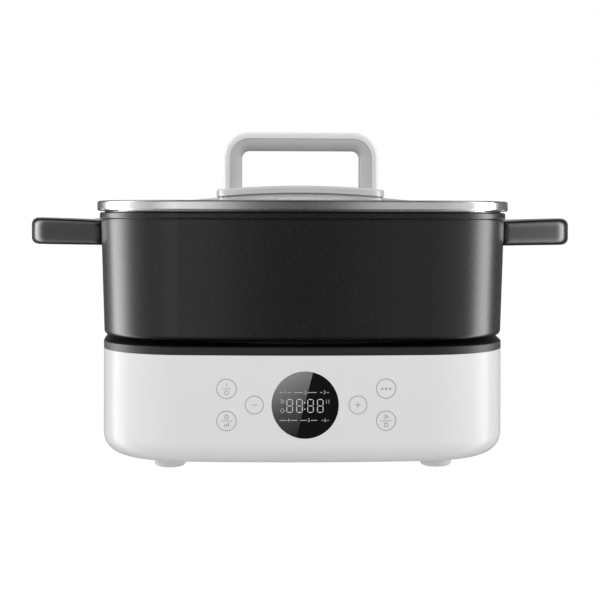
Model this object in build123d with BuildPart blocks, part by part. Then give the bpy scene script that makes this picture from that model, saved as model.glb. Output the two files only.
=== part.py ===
"""Electric hot pot: a heated base, a lift-off cast pot with two ear handles and a lift-off glass lid.

Millimetres. +Z is up, +X is to the right of someone facing the display, -Y is the front.
The origin is on the table, under the middle of the base.
"""

import os
from math import cos, radians, sin, sqrt

from build123d import *

os.makedirs("parts", exist_ok=True)

# ---------------------------------------------------------------- sizes

# Plan shape shared by base, pot and lid: a rounded rectangle with bowed sides.
base_width = 265.6
base_depth = 251.6
corner_radius = 57.0
side_bow = 9.0

# Running and seating gaps.
seat_gap = 0.2
part_gap = 0.05

# Base housing, bottom cover and feet.
foot_height = 7.3
foot_radius = 10.1
foot_round = 3.0
foot_recess_depth = 3.8
foot_recess_clearance = 1.0
foot_side_inset = 47.6
foot_front_inset = 41.8
housing_height = 67.3
housing_wall = 2.6
housing_bottom_round = 13.0
floor_ring_width = 24.0
floor_ring_thickness = 6.0
bottom_cover_inset = 16.0
bottom_cover_thickness = 3.2
foot_boss_radius = 6.0
foot_boss_height = 9.0
post_front_inset = 23.5
post_side_inset = 72.8
post_radius = 6.0
post_top_z = 56.0
post_shelf = 5.0
cover_screw_inset = 20.0
cover_screw_recess = 2.0
vent_slot_length = 34.0
vent_slot_width = 3.0
vent_slot_pitch = 8.0
vent_slot_count = 7
vent_field_y = -38.0

# Black top cover of the base.
band_height = 4.8
band_round = 0.7
deck_wall = 2.5
hub_rise = 3.05
hub_round = 1.0
hub_margin = 1.0
plate_opening_gap = 6.0
plate_opening_round = 1.0
collar_depth = 8.0
collar_wall = 2.5
tongue_depth = 5.0
tongue_wall = 1.5

# Heating plate, its element, the pan under it and the temperature probe.
plate_radius = 87.0
plate_thickness = 8.0
plate_leg_radius = 4.5
plate_leg_inset = 13.0
element_circle = 60.0
element_tube_radius = 3.3
element_gap_angle = 30.0
element_wrap = 2.0
terminal_radius = 1.6
terminal_length = 15.0
bush_radius = 4.0
bush_flange = 1.5
bush_flange_height = 2.0
bush_height = 4.0
plate_edge_round = 1.5
plate_groove_radius = 40.0
plate_groove_pitch = 16.0
plate_groove_count = 3
plate_groove_depth = 0.5
cutout_radius = 7.0
cutout_height = 5.0
cutout_y = -34.0
cutout_flange_length = 26.0
cutout_flange_width = 8.0
cutout_flange_sheet = 1.0
cutout_tab_rise = 4.0
shield_depth = 12.0
shield_sheet = 1.0
shield_clearance = 3.0
shield_collar_gap = 1.5
shield_flange_width = 8.0
shield_boss_radius = 3.4
shield_flange_drop = 1.0
probe_radius = 10.5
probe_clearance = 0.6
probe_height = 13.0
probe_wall = 0.8
probe_post_radius = 6.0
probe_post_height = 11.0
probe_foot_radius = 13.0
probe_foot_thickness = 1.6
probe_round = 1.0
probe_post_bore = 4.0
spring_radius = 8.1
spring_wire = 1.0
spring_turns = 4

# Controls on the front wall.
display_rise = 37.2
lens_radius = 20.5
lens_flange = 2.2
lens_flange_thickness = 1.2
lens_flange_lap = 1.0
outer_key_x = 48.7
outer_key_rise = 9.8
inner_key_x = 31.6
key_pad_radius = 4.5
board_setback = 9.4
board_thickness = 1.6
control_board_width = 124.0
control_board_height = 36.0
led_width = 34.0
led_height = 15.0
led_corner = 1.0

# Power board and what stands on it.
power_board_width = 110.0
power_board_depth = 72.0
power_board_y = 35.0
power_board_lift = 9.0
board_hole_inset = 5.0
board_post_radius = 3.2
relay_inset = 23.0
relay_y = 12.0
relay_width = 18.0
relay_depth = 24.0
relay_height = 16.0
relay_corner = 1.0
film_capacitor_x = -4.0
film_capacitor_y = 20.0
film_capacitor_width = 26.0
film_capacitor_depth = 11.0
film_capacitor_height = 14.0
can_capacitor_x = 22.0
can_capacitor_y = -6.0
can_capacitor_pitch = 16.0
can_capacitor_radius = 5.5
can_capacitor_height = 18.0
transformer_x = -14.0
transformer_y = -14.0
transformer_width = 20.0
transformer_depth = 18.0
transformer_flange = 4.0
transformer_winding_radius = 7.5
transformer_winding_height = 9.0
terminal_inset = 21.0
terminal_y = 20.0
terminal_width = 30.0
terminal_depth = 12.0
terminal_height = 12.0
terminal_pitch = 10.0
terminal_hole_radius = 2.4
terminal_hole_depth = 5.0
buzzer_radius = 6.0
buzzer_height = 7.0
buzzer_port_radius = 1.2
buzzer_drop = 4.0

# Mains inlet in the rear wall.
inlet_rise = 34.0
inlet_width = 27.4
inlet_height = 20.0
inlet_depth = 22.0
inlet_flange_width = 50.0
inlet_flange_height = 25.0
inlet_flange_thickness = 2.5
inlet_flange_corner = 5.0
inlet_screw_x = 20.0
socket_width = 24.0
socket_height = 16.6
socket_depth = 17.0
socket_chamfer = 4.5
pin_width = 4.0
pin_thickness = 2.0
pin_length = 11.0
pin_tail = 7.0
pin_spacing = 7.0
earth_pin_rise = 4.0

# Pot.
pot_gap = 0.4
pot_wall = 3.2
pot_floor = 4.1
pot_tuck = 0.4
pot_flare = 2.0
pot_height = 79.05
pot_bottom_round = 3.4
pot_inside_round = 8.0
lip_height = 4.4
lip_overhang = 0.8
lip_groove = 0.8
lip_round = 1.2
bead_height = 0.7
bead_inset = 3.0
contact_gap = 3.0
contact_drop = 2.4
contact_round = 1.0

# Ear handles.
ear_length = 52.9
ear_drop = 16.3
ear_height = 18.2
ear_root_half = 66.0
ear_tip_half = 37.0
ear_tip_bow = 6.0
ear_corner = 22.0
ear_hole_corner = 6.0
ear_overlap = 20.0
ear_bar = 15.0
ear_bridge = 11.0
ear_edge_round = 4.5
ear_crown = 1.6
ear_rake = 0.7
ear_seam = 0.5
lug_radius = 6.0
lug_reach = 5.0
lug_bore_floor = 1.0
lug_spacing = 36.0

# Lid.
rim_overhang = 4.4
rim_height = 6.5
rim_lap = 6.0
rim_sheet = 0.7
rim_hem = 1.7
rim_round = 1.5
skirt_depth = 3.5
skirt_sheet = 1.0
skirt_gap = 1.5
glass_thickness = 4.0
dome_rise = 6.9
dome_bend = 65.5
vent_radius = 3.0
vent_bore_radius = 1.8
vent_flange = 2.4
vent_lip = 0.8
vent_y = 52.0

# Lid handle.
saddle_length = 118.6
saddle_width = 32.0
saddle_thickness = 4.9
saddle_edge_round = 1.6
gasket_thickness = 0.8
gasket_inset = 0.8
glass_hole_radius = 3.5
seal_radius = 7.0
seal_sheet = 0.8
handle_half_width = 53.8
handle_rise = 49.75
handle_corner = 17.5
shell_thickness = 4.4
shell_width = 22.0
shell_edge_round = 2.0
grip_thickness = 7.9
grip_width = 21.0
grip_inner_width = 14.0
grip_bulge = 1.1
grip_edge_round = 2.2
seam_gap = 0.15

# Screws.
screw_radius = 2.0
screw_head_radius = 4.0
screw_head_height = 2.2
small_screw_radius = 1.5
small_head_radius = 2.8
small_head_height = 1.8
cross_span = 1.15
cross_slot = 0.3
cross_depth = 0.6
foot_screw_length = 10.0
base_screw_length = 14.0
base_screw_hole = 10.0
cover_screw_length = 3.6
shield_screw_length = 5.5
shield_screw_hole = 5.0
plate_screw_length = 6.0
cutout_screw_length = 3.0
control_screw_length = 6.0
board_screw_length = 7.0
inlet_screw_length = 6.0
handle_screw_length = 20.0
handle_bore_depth = 24.0

# ---------------------------------------------------------------- levels

housing_floor_z = foot_height
housing_top_z = housing_floor_z + housing_height
band_z = housing_top_z + seat_gap
deck_z = band_z + band_height
cover_top_z = deck_z + hub_rise
pot_floor_z = cover_top_z + pot_gap
lip_top_z = pot_floor_z + pot_height
lip_z = lip_top_z - lip_height
groove_z = lip_z - lip_groove
contact_z = pot_floor_z - contact_drop
plate_top_z = contact_z - seat_gap
plate_bottom_z = plate_top_z - plate_thickness
shield_floor_z = plate_bottom_z - shield_depth
rim_z = lip_top_z + bead_height + seat_gap
rim_top_z = rim_z + rim_height
glass_top_z = rim_top_z - rim_sheet - part_gap
glass_bottom_z = glass_top_z - glass_thickness
board_z = housing_floor_z + bottom_cover_thickness + power_board_lift
display_z = housing_floor_z + display_rise
inlet_z = housing_floor_z + inlet_rise
handle_top_z = glass_top_z + handle_rise

front_y = -base_depth / 2
rear_y = base_depth / 2
front_inner_y = front_y + housing_wall
side_radius = ((base_width / 2 - side_bow) ** 2 + side_bow**2) / (2 * side_bow)
board_front_y = front_inner_y + board_setback
board_back_y = board_front_y + board_thickness
plate_opening_radius = plate_radius + plate_opening_gap
collar_outer = plate_opening_radius + collar_wall
contact_radius = plate_opening_radius - contact_gap
plate_leg_circle = plate_radius - plate_leg_inset
shield_floor_radius = plate_radius + shield_clearance
shield_wall_radius = collar_outer + shield_collar_gap
shield_flange_radius = shield_wall_radius + shield_flange_width
shield_boss_circle = shield_wall_radius + shield_flange_width / 2
hub_radius = shield_flange_radius + hub_margin
foot_x = base_width / 2 - foot_side_inset
foot_y = base_depth / 2 - foot_front_inset
foot_points = [(x, y) for x in (-foot_x, foot_x) for y in (-foot_y, foot_y)]


def wall_setback(across):
    """How far a bowed wall has curved back from its middle, at a distance across it."""
    return side_radius - sqrt(side_radius**2 - across**2)


# ---------------------------------------------------------------- outlines and small shapes


def bowed_rectangle(width, depth, corner):
    """Plan outline: four sides that bow outwards, with round corners between them."""
    x, y = width / 2, depth / 2
    corners = [
        (-x + side_bow, -y + side_bow),
        (x - side_bow, -y + side_bow),
        (x - side_bow, y - side_bow),
        (-x + side_bow, y - side_bow),
    ]
    middles = [(0, -y), (x, 0), (0, y), (-x, 0)]
    with BuildSketch() as outline:
        with BuildLine():
            for start, middle, end in zip(corners, middles, corners[1:] + corners[:1]):
                ThreePointArc(start, middle, end)
        make_face()
        fillet(outline.vertices(), corner)
    return outline.sketch


base_outline = bowed_rectangle(base_width, base_depth, corner_radius)


def grown(amount):
    """The base outline, moved outwards all round by an amount, or inwards if it is negative."""
    return offset(base_outline, amount=amount, mode=Mode.PRIVATE)


def prism(outline, low, high):
    """An upright solid on an outline, from one level to another."""
    with BuildPart(mode=Mode.PRIVATE) as solid:
        with BuildSketch(Plane.XY.offset(low)):
            add(outline)
        extrude(amount=high - low)
    return solid.part


def tub(low_outline, high_outline, low, high, edge_round):
    """A solid that runs between two outlines, with its lower edge rounded."""
    with BuildPart(mode=Mode.PRIVATE) as solid:
        with BuildSketch(Plane.XY.offset(low)):
            add(low_outline)
        with BuildSketch(Plane.XY.offset(high)):
            add(high_outline)
        loft(ruled=True)
        fillet(solid.faces().sort_by(Axis.Z)[0].edges(), edge_round)
    return solid.part


def pan_screw(radius, length, head_radius, head_height):
    """A cross-recessed pan-head screw with its seat at the origin and its shank towards +Z."""
    with BuildPart(mode=Mode.PRIVATE) as screw:
        with BuildSketch():
            Circle(radius)
        extrude(amount=length)
        with BuildSketch():
            Circle(head_radius)
        extrude(amount=-head_height, taper=18)
        with BuildSketch(Plane.XY.offset(-head_height)):
            Rectangle(head_radius * cross_span, head_radius * cross_slot)
            Rectangle(head_radius * cross_slot, head_radius * cross_span)
        extrude(amount=head_height * cross_depth, mode=Mode.SUBTRACT)
    return screw.part


def dome_layer(low, high):
    """The round dome of the lid as a layer: low and high are its faces, measured up from the glass's top face."""
    reach = base_width
    edge_z, apex_z = glass_top_z, glass_top_z + dome_rise
    # The profile is turned on a diagonal, so the surface's seam lies under no edge of the handle's foot.
    with BuildPart(mode=Mode.PRIVATE) as layer:
        with BuildSketch(Plane(origin=(0, 0, 0), x_dir=(1, 1, 0), z_dir=(1, -1, 0))):
            with BuildLine():
                levels = []
                for shift in (low, high):
                    crown = TangentArc(
                        (0, apex_z + shift), (dome_bend, (apex_z + edge_z) / 2 + shift), tangent=(1, 0)
                    )
                    sweep_out = TangentArc(crown @ 1, (2 * dome_bend, edge_z + shift), tangent=crown % 1)
                    Line(sweep_out @ 1, (reach, edge_z + shift))
                    levels.append((apex_z + shift, edge_z + shift))
                Line((0, levels[0][0]), (0, levels[1][0]))
                Line((reach, levels[0][1]), (reach, levels[1][1]))
            make_face()
        revolve(axis=Axis.Z)
    return layer.part


# ---------------------------------------------------------------- base: housing

ring_top_z = housing_floor_z + floor_ring_thickness
cover_seat_z = housing_floor_z + bottom_cover_thickness + part_gap
post_x = base_width / 2 - post_side_inset
post_y = base_depth / 2 - post_front_inset - wall_setback(post_x)
post_points = [(x, y) for x in (-post_x, post_x) for y in (-post_y, post_y)]
cover_screw_points = [
    (-base_width / 2 + cover_screw_inset, 0),
    (base_width / 2 - cover_screw_inset, 0),
    (0, -base_depth / 2 + cover_screw_inset),
    (0, base_depth / 2 - cover_screw_inset),
]
board_screw_points = [
    (x, z)
    for x in (-control_board_width / 2 + board_hole_inset, control_board_width / 2 - board_hole_inset)
    for z in (
        display_z - control_board_height / 2 + board_hole_inset,
        display_z + control_board_height / 2 - board_hole_inset,
    )
]
board_post_length = board_setback - wall_setback(control_board_width / 2) + housing_wall / 2

with BuildPart() as base_housing:
    add(tub(base_outline, base_outline, housing_floor_z, housing_top_z, housing_bottom_round))
    add(
        tub(
            grown(-housing_wall),
            grown(-housing_wall),
            housing_floor_z + housing_wall,
            housing_top_z + 1,
            housing_bottom_round - housing_wall,
        ),
        mode=Mode.SUBTRACT,
    )
    # A thick ring round the bottom opening is rebated to take the bottom cover.
    add(prism(grown(-housing_bottom_round), housing_floor_z, ring_top_z))
    add(prism(grown(-floor_ring_width), housing_floor_z, ring_top_z), mode=Mode.SUBTRACT)
    # Hollow posts stand on the ring; the long screws pass up inside them.
    with BuildSketch(Plane.XY.offset(cover_seat_z)):
        with Locations(*post_points):
            Circle(post_radius)
    extrude(amount=post_top_z - cover_seat_z)
    with BuildSketch(Plane.XY.offset(cover_seat_z)):
        with Locations(*post_points):
            Circle(screw_head_radius + seat_gap)
    extrude(amount=post_top_z - post_shelf - cover_seat_z, mode=Mode.SUBTRACT)
    with BuildSketch(Plane.XY.offset(housing_floor_z)):
        with Locations(*post_points):
            Circle(screw_radius + part_gap)
        with Locations(*cover_screw_points):
            Circle(small_screw_radius)
    extrude(amount=post_top_z - housing_floor_z, mode=Mode.SUBTRACT)
    add(prism(grown(-bottom_cover_inset + seat_gap), housing_floor_z, cover_seat_z), mode=Mode.SUBTRACT)
    # Posts behind the front wall carry the control board.
    with BuildSketch(Plane.XZ.offset(-board_front_y + part_gap)):
        with Locations(*board_screw_points):
            Circle(board_post_radius)
    extrude(amount=board_post_length)
    with BuildSketch(Plane.XZ.offset(-board_front_y)):
        with Locations(*board_screw_points):
            Circle(small_screw_radius)
    extrude(amount=board_post_length - housing_wall, mode=Mode.SUBTRACT)
    # The round window for the display lens, and the cut-out for the mains inlet.
    with BuildSketch(Plane.XZ.offset(-front_y + 1)):
        with Locations((0, display_z)):
            Circle(lens_radius + part_gap)
    extrude(amount=-housing_wall - 2, mode=Mode.SUBTRACT)
    with BuildSketch(Plane.XZ.offset(-rear_y - 1)):
        with Locations((0, inlet_z)):
            Rectangle(inlet_width + 2 * seat_gap, inlet_height + 2 * seat_gap)
        with Locations((-inlet_screw_x, inlet_z), (inlet_screw_x, inlet_z)):
            Circle(small_screw_radius + part_gap)
    extrude(amount=housing_wall + 2, mode=Mode.SUBTRACT)
base_housing.part.label = "base_housing"
export_step(base_housing.part, "parts/base_housing.step")

# ---------------------------------------------------------------- base: bottom cover and feet

board_x = power_board_width / 2 - board_hole_inset
board_y = power_board_depth / 2 - board_hole_inset
power_board_points = [
    (x, y) for x in (-board_x, board_x) for y in (power_board_y - board_y, power_board_y + board_y)
]
cover_top_face_z = housing_floor_z + bottom_cover_thickness

with BuildPart() as bottom_cover:
    with BuildSketch(Plane.XY.offset(housing_floor_z)):
        add(grown(-bottom_cover_inset))
        with Locations((0, vent_field_y)):
            with GridLocations(2 * vent_slot_length, vent_slot_pitch, 2, vent_slot_count):
                SlotOverall(vent_slot_length, vent_slot_width, mode=Mode.SUBTRACT)
        with Locations(*post_points):
            Circle(screw_head_radius + seat_gap, mode=Mode.SUBTRACT)
        with Locations(*cover_screw_points):
            Circle(small_screw_radius + part_gap, mode=Mode.SUBTRACT)
    extrude(amount=bottom_cover_thickness)
    # The screw heads sink into the cover.
    with BuildSketch(Plane.XY.offset(housing_floor_z)):
        with Locations(*cover_screw_points):
            Circle(small_head_radius + seat_gap)
    extrude(amount=cover_screw_recess, mode=Mode.SUBTRACT)
    # Bosses over the feet and short posts under the power board.
    with BuildSketch(Plane.XY.offset(cover_top_face_z)):
        with Locations(*foot_points):
            Circle(foot_boss_radius)
    extrude(amount=foot_boss_height)
    with BuildSketch(Plane.XY.offset(cover_top_face_z)):
        with Locations(*power_board_points):
            Circle(board_post_radius)
    extrude(amount=power_board_lift - part_gap)
    with BuildSketch(Plane.XY.offset(board_z)):
        with Locations(*power_board_points):
            Circle(small_screw_radius)
    extrude(amount=-power_board_lift + part_gap, mode=Mode.SUBTRACT)
    with BuildSketch(Plane.XY.offset(housing_floor_z)):
        with Locations(*foot_points):
            Circle(screw_radius)
    extrude(amount=foot_boss_height, mode=Mode.SUBTRACT)
bottom_cover.part.label = "bottom_cover"
export_step(bottom_cover.part, "parts/bottom_cover.step")

foot_names = ["foot_front_left", "foot_rear_left", "foot_front_right", "foot_rear_right"]
for foot_name, foot_point in zip(foot_names, foot_points):
    with BuildPart() as foot:
        with BuildSketch():
            with Locations(foot_point):
                Circle(foot_radius)
        extrude(amount=foot_height - part_gap)
        fillet(foot.faces().sort_by(Axis.Z)[0].edges(), foot_round)
        with BuildSketch():
            with Locations(foot_point):
                Circle(screw_head_radius + foot_recess_clearance)
        extrude(amount=foot_recess_depth, mode=Mode.SUBTRACT)
        with BuildSketch():
            with Locations(foot_point):
                Circle(screw_radius + part_gap)
        extrude(amount=foot_height, mode=Mode.SUBTRACT)
    foot.part.label = foot_name
    export_step(foot.part, f"parts/{foot_name}.step")

foot_screw = pan_screw(screw_radius, foot_screw_length, screw_head_radius, screw_head_height)
with BuildPart() as foot_screws:
    with Locations(*[(x, y, foot_recess_depth) for x, y in foot_points]):
        add(foot_screw)
foot_screws.part.label = "foot_screws"
export_step(foot_screws.part, "parts/foot_screws.step")

base_screw = pan_screw(screw_radius, base_screw_length, screw_head_radius, screw_head_height)
with BuildPart() as base_screws:
    with Locations(*[(x, y, post_top_z - post_shelf) for x, y in post_points]):
        add(base_screw)
base_screws.part.label = "base_screws"
export_step(base_screws.part, "parts/base_screws.step")

cover_screw = pan_screw(small_screw_radius, cover_screw_length, small_head_radius, small_head_height)
with BuildPart() as bottom_cover_screws:
    with Locations(*[(x, y, housing_floor_z + cover_screw_recess) for x, y in cover_screw_points]):
        add(cover_screw)
bottom_cover_screws.part.label = "bottom_cover_screws"
export_step(bottom_cover_screws.part, "parts/bottom_cover_screws.step")

# ---------------------------------------------------------------- base: top cover

cover_underside_z = cover_top_z - deck_wall
tongue_inset = housing_wall + seat_gap
shield_flange_z = cover_top_z - collar_depth - shield_flange_drop
shield_flange_top_z = shield_flange_z + shield_sheet

with BuildPart() as top_cover:
    add(prism(base_outline, band_z, deck_z))
    fillet(top_cover.faces().sort_by(Axis.Z)[-1].edges(), band_round)
    # A tongue under the band sits inside the housing wall.
    add(prism(grown(-tongue_inset), housing_top_z - tongue_depth, band_z))
    add(
        prism(grown(-tongue_inset - tongue_wall), housing_top_z - tongue_depth, deck_z - deck_wall),
        mode=Mode.SUBTRACT,
    )
    # A raised hub round the heating plate keeps spills out and centres the pot.
    with BuildSketch(Plane.XY.offset(deck_z)):
        Circle(hub_radius)
    extrude(amount=hub_rise)
    fillet(top_cover.faces().sort_by(Axis.Z)[-1].edges(), hub_round)
    with BuildSketch(Plane.XY.offset(deck_z - deck_wall)):
        Circle(hub_radius - deck_wall)
    extrude(amount=hub_rise, mode=Mode.SUBTRACT)
    # A collar round the heating plate, and the bosses that the screws reach.
    with BuildSketch(Plane.XY.offset(cover_top_z - collar_depth)):
        Circle(collar_outer)
    extrude(amount=collar_depth - deck_wall)
    with BuildSketch(Plane.XY.offset(post_top_z + part_gap)):
        with Locations(*post_points):
            Circle(post_radius)
    extrude(amount=deck_z - deck_wall - post_top_z)
    with BuildSketch(Plane.XY.offset(shield_flange_top_z + part_gap)):
        with PolarLocations(shield_boss_circle, 4, start_angle=45):
            Circle(shield_boss_radius)
    extrude(amount=cover_underside_z - shield_flange_top_z)
    with BuildSketch(Plane.XY.offset(post_top_z)):
        with Locations(*post_points):
            Circle(screw_radius)
    extrude(amount=base_screw_hole, mode=Mode.SUBTRACT)
    with BuildSketch(Plane.XY.offset(shield_flange_top_z)):
        with PolarLocations(shield_boss_circle, 4, start_angle=45):
            Circle(small_screw_radius)
    extrude(amount=shield_screw_hole, mode=Mode.SUBTRACT)
    with BuildSketch(Plane.XY.offset(housing_floor_z)):
        Circle(plate_opening_radius)
    extrude(amount=cover_top_z, mode=Mode.SUBTRACT)
    mouth = top_cover.edges().filter_by(GeomType.CIRCLE).group_by(Axis.Z)[-1]
    fillet(mouth, plate_opening_round)
top_cover.part.label = "top_cover"
export_step(top_cover.part, "parts/top_cover.step")

# ---------------------------------------------------------------- base: heater

shield_floor_top_z = shield_floor_z + shield_sheet
probe_hole_radius = probe_radius + probe_clearance
element_bore = element_tube_radius + part_gap
element_arc = 360 - element_gap_angle
element_start = 90 + element_gap_angle / 2
element_ends = [
    (element_circle * cos(radians(angle)), element_circle * sin(radians(angle)))
    for angle in (element_start, element_start + element_arc)
]
leg_angle = 150

with BuildPart() as heating_plate:
    with BuildSketch(Plane.XY.offset(plate_bottom_z)):
        Circle(plate_radius)
    extrude(amount=plate_thickness)
    fillet(heating_plate.faces().sort_by(Axis.Z)[-1].edges(), plate_edge_round)
    # Shallow turned grooves in the face that meets the pot.
    for number in range(plate_groove_count):
        groove_radius = plate_groove_radius + number * plate_groove_pitch
        with BuildSketch(Plane.XY.offset(plate_top_z)):
            Circle(groove_radius + plate_groove_depth)
            Circle(groove_radius - plate_groove_depth, mode=Mode.SUBTRACT)
        extrude(amount=-plate_groove_depth, mode=Mode.SUBTRACT)
    # A ring underneath wraps the element, and three legs stand on the shield.
    with BuildSketch(Plane.XY.offset(plate_bottom_z)):
        Circle(element_circle + element_tube_radius + element_wrap)
        Circle(element_circle - element_tube_radius - element_wrap, mode=Mode.SUBTRACT)
    extrude(amount=-element_tube_radius / 2)
    with BuildSketch(Plane.XY.offset(shield_floor_top_z)):
        with PolarLocations(plate_leg_circle, 3, start_angle=leg_angle):
            Circle(plate_leg_radius)
    extrude(amount=plate_bottom_z - shield_floor_top_z)
    with BuildSketch(Plane.XY.offset(shield_floor_top_z)):
        with PolarLocations(plate_leg_circle, 3, start_angle=leg_angle):
            Circle(small_screw_radius)
    extrude(amount=plate_screw_length, mode=Mode.SUBTRACT)
    with BuildSketch(Plane.XZ):
        with Locations((element_circle, plate_bottom_z)):
            Circle(element_bore)
    revolve(axis=Axis.Z, mode=Mode.SUBTRACT)
    with BuildSketch(Plane.XY.offset(plate_bottom_z)):
        with Locations(*element_ends):
            Circle(element_tube_radius + element_wrap / 2)
    extrude(amount=-element_tube_radius, mode=Mode.SUBTRACT)
    with BuildSketch(Plane.XY.offset(shield_floor_top_z)):
        Circle(probe_hole_radius)
    extrude(amount=plate_top_z, mode=Mode.SUBTRACT)
heating_plate.part.label = "heating_plate"
export_step(heating_plate.part, "parts/heating_plate.step")

with BuildPart() as heating_element:
    with BuildSketch(Plane.XZ.rotated((0, 0, element_start))):
        with Locations((element_circle, plate_bottom_z)):
            Circle(element_tube_radius)
    revolve(axis=Axis.Z, revolution_arc=element_arc)
    # The ends turn down and carry the terminal pins through the shield.
    with BuildSketch(Plane.XY.offset(plate_bottom_z)):
        with Locations(*element_ends):
            Circle(element_tube_radius)
    extrude(amount=-shield_depth / 2)
    with BuildSketch(Plane.XY.offset(plate_bottom_z - shield_depth / 2)):
        with Locations(*element_ends):
            Circle(terminal_radius)
    extrude(amount=-terminal_length)
heating_element.part.label = "heating_element"
export_step(heating_element.part, "parts/heating_element.step")

cutout_screw_points = [
    (x, cutout_y)
    for x in (-cutout_flange_length / 2 + small_head_radius, cutout_flange_length / 2 - small_head_radius)
]
with BuildPart() as heat_shield:
    with BuildSketch(Plane.XZ):
        with BuildLine():
            Polyline(
                (0, shield_floor_z),
                (shield_floor_radius, shield_floor_z),
                (shield_wall_radius, shield_flange_z),
                (shield_flange_radius, shield_flange_z),
                (shield_flange_radius, shield_flange_top_z),
                (shield_wall_radius - shield_sheet, shield_flange_top_z),
                (shield_floor_radius - shield_sheet, shield_floor_top_z),
                (0, shield_floor_top_z),
                close=True,
            )
        make_face()
    revolve(axis=Axis.Z)
    with BuildSketch(Plane.XY.offset(shield_floor_z)):
        with PolarLocations(plate_leg_circle, 3, start_angle=leg_angle):
            Circle(small_screw_radius + part_gap)
        with PolarLocations(shield_boss_circle, 4, start_angle=45):
            Circle(small_screw_radius + part_gap)
        with Locations(*element_ends):
            Circle(bush_radius)
        with Locations(*cutout_screw_points):
            Circle(small_screw_radius)
    extrude(amount=shield_depth + plate_thickness, mode=Mode.SUBTRACT)
heat_shield.part.label = "heat_shield"
export_step(heat_shield.part, "parts/heat_shield.step")

bush_z = shield_floor_z - bush_flange_height
with BuildPart() as element_bushes:
    with BuildSketch(Plane.XY.offset(bush_z)):
        with Locations(*element_ends):
            Circle(bush_radius + bush_flange)
    extrude(amount=bush_flange_height - part_gap)
    with BuildSketch(Plane.XY.offset(bush_z)):
        with Locations(*element_ends):
            Circle(bush_radius - part_gap)
    extrude(amount=bush_height)
    with BuildSketch(Plane.XY.offset(bush_z)):
        with Locations(*element_ends):
            Circle(terminal_radius + part_gap)
    extrude(amount=bush_height, mode=Mode.SUBTRACT)
element_bushes.part.label = "element_bushes"
export_step(element_bushes.part, "parts/element_bushes.step")

shield_screw = pan_screw(small_screw_radius, shield_screw_length, small_head_radius, small_head_height)
with BuildPart() as shield_screws:
    with PolarLocations(shield_boss_circle, 4, start_angle=45):
        add(shield_screw.moved(Location((0, 0, shield_flange_z))))
shield_screws.part.label = "shield_screws"
export_step(shield_screws.part, "parts/shield_screws.step")

plate_screw = pan_screw(small_screw_radius, plate_screw_length, small_head_radius, small_head_height)
with BuildPart() as plate_screws:
    with PolarLocations(plate_leg_circle, 3, start_angle=leg_angle):
        add(plate_screw.moved(Location((0, 0, shield_floor_z))))
plate_screws.part.label = "plate_screws"
export_step(plate_screws.part, "parts/plate_screws.step")

# A bimetal cut-out is clamped under the shield and breaks the circuit if it overheats.
with BuildPart() as thermal_cutout:
    with BuildSketch(Plane.XY.offset(shield_floor_z - part_gap)):
        with Locations((0, cutout_y)):
            SlotOverall(cutout_flange_length, cutout_flange_width)
        with Locations(*cutout_screw_points):
            Circle(small_screw_radius + part_gap, mode=Mode.SUBTRACT)
    extrude(amount=-cutout_flange_sheet)
    with BuildSketch(Plane.XY.offset(shield_floor_z - part_gap - cutout_flange_sheet)):
        with Locations((0, cutout_y)):
            Circle(cutout_radius)
    extrude(amount=-cutout_height)
    with BuildSketch(Plane.XY.offset(shield_floor_z - part_gap - cutout_flange_sheet - cutout_height)):
        with Locations((0, cutout_y)):
            with GridLocations(1, cutout_radius, 1, 2):
                Rectangle(pin_width, small_screw_radius)
    extrude(amount=-cutout_tab_rise)
thermal_cutout.part.label = "thermal_cutout"
export_step(thermal_cutout.part, "parts/thermal_cutout.step")

cutout_screw = pan_screw(small_screw_radius, cutout_screw_length, small_head_radius, small_head_height)
with BuildPart() as cutout_screws:
    with Locations(*[(x, y, shield_floor_z - part_gap - cutout_flange_sheet) for x, y in cutout_screw_points]):
        add(cutout_screw)
cutout_screws.part.label = "cutout_screws"
export_step(cutout_screws.part, "parts/cutout_screws.step")

# ---------------------------------------------------------------- base: temperature probe

probe_top_z = contact_z - seat_gap
probe_cap_z = probe_top_z - probe_height
probe_foot_top_z = shield_floor_top_z + probe_foot_thickness

with BuildPart() as probe_holder:
    with BuildSketch(Plane.XY.offset(shield_floor_top_z)):
        Circle(probe_foot_radius)
    extrude(amount=probe_foot_thickness)
    with BuildSketch(Plane.XY.offset(probe_foot_top_z)):
        Circle(probe_post_radius)
    extrude(amount=probe_post_height - probe_foot_thickness)
    with BuildSketch(Plane.XY.offset(shield_floor_top_z)):
        Circle(probe_post_bore)
    extrude(amount=probe_post_height, mode=Mode.SUBTRACT)
probe_holder.part.label = "probe_holder"
export_step(probe_holder.part, "parts/probe_holder.step")

spring_height = probe_top_z - probe_wall - probe_foot_top_z - spring_wire - 2 * part_gap
with BuildPart() as probe_spring:
    with BuildLine():
        coil = Helix(
            spring_height / spring_turns,
            spring_height,
            spring_radius,
            center=(0, 0, probe_foot_top_z + spring_wire / 2 + part_gap),
        )
    with BuildSketch(Plane(origin=coil @ 0, z_dir=coil % 0)):
        RegularPolygon(spring_wire / 2, 6)
    sweep(is_frenet=True)
probe_spring.part.label = "probe_spring"
export_step(probe_spring.part, "parts/probe_spring.step")

with BuildPart() as probe_cap:
    with BuildSketch(Plane.XY.offset(probe_cap_z)):
        Circle(probe_radius)
    extrude(amount=probe_height)
    fillet(probe_cap.faces().sort_by(Axis.Z)[-1].edges(), probe_round)
    with BuildSketch(Plane.XY.offset(probe_cap_z)):
        Circle(probe_radius - probe_wall)
    extrude(amount=probe_height - probe_wall, mode=Mode.SUBTRACT)
probe_cap.part.label = "probe_cap"
export_step(probe_cap.part, "parts/probe_cap.step")

# ---------------------------------------------------------------- base: controls

lens_back_y = front_inner_y + part_gap + lens_flange_thickness

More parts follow.
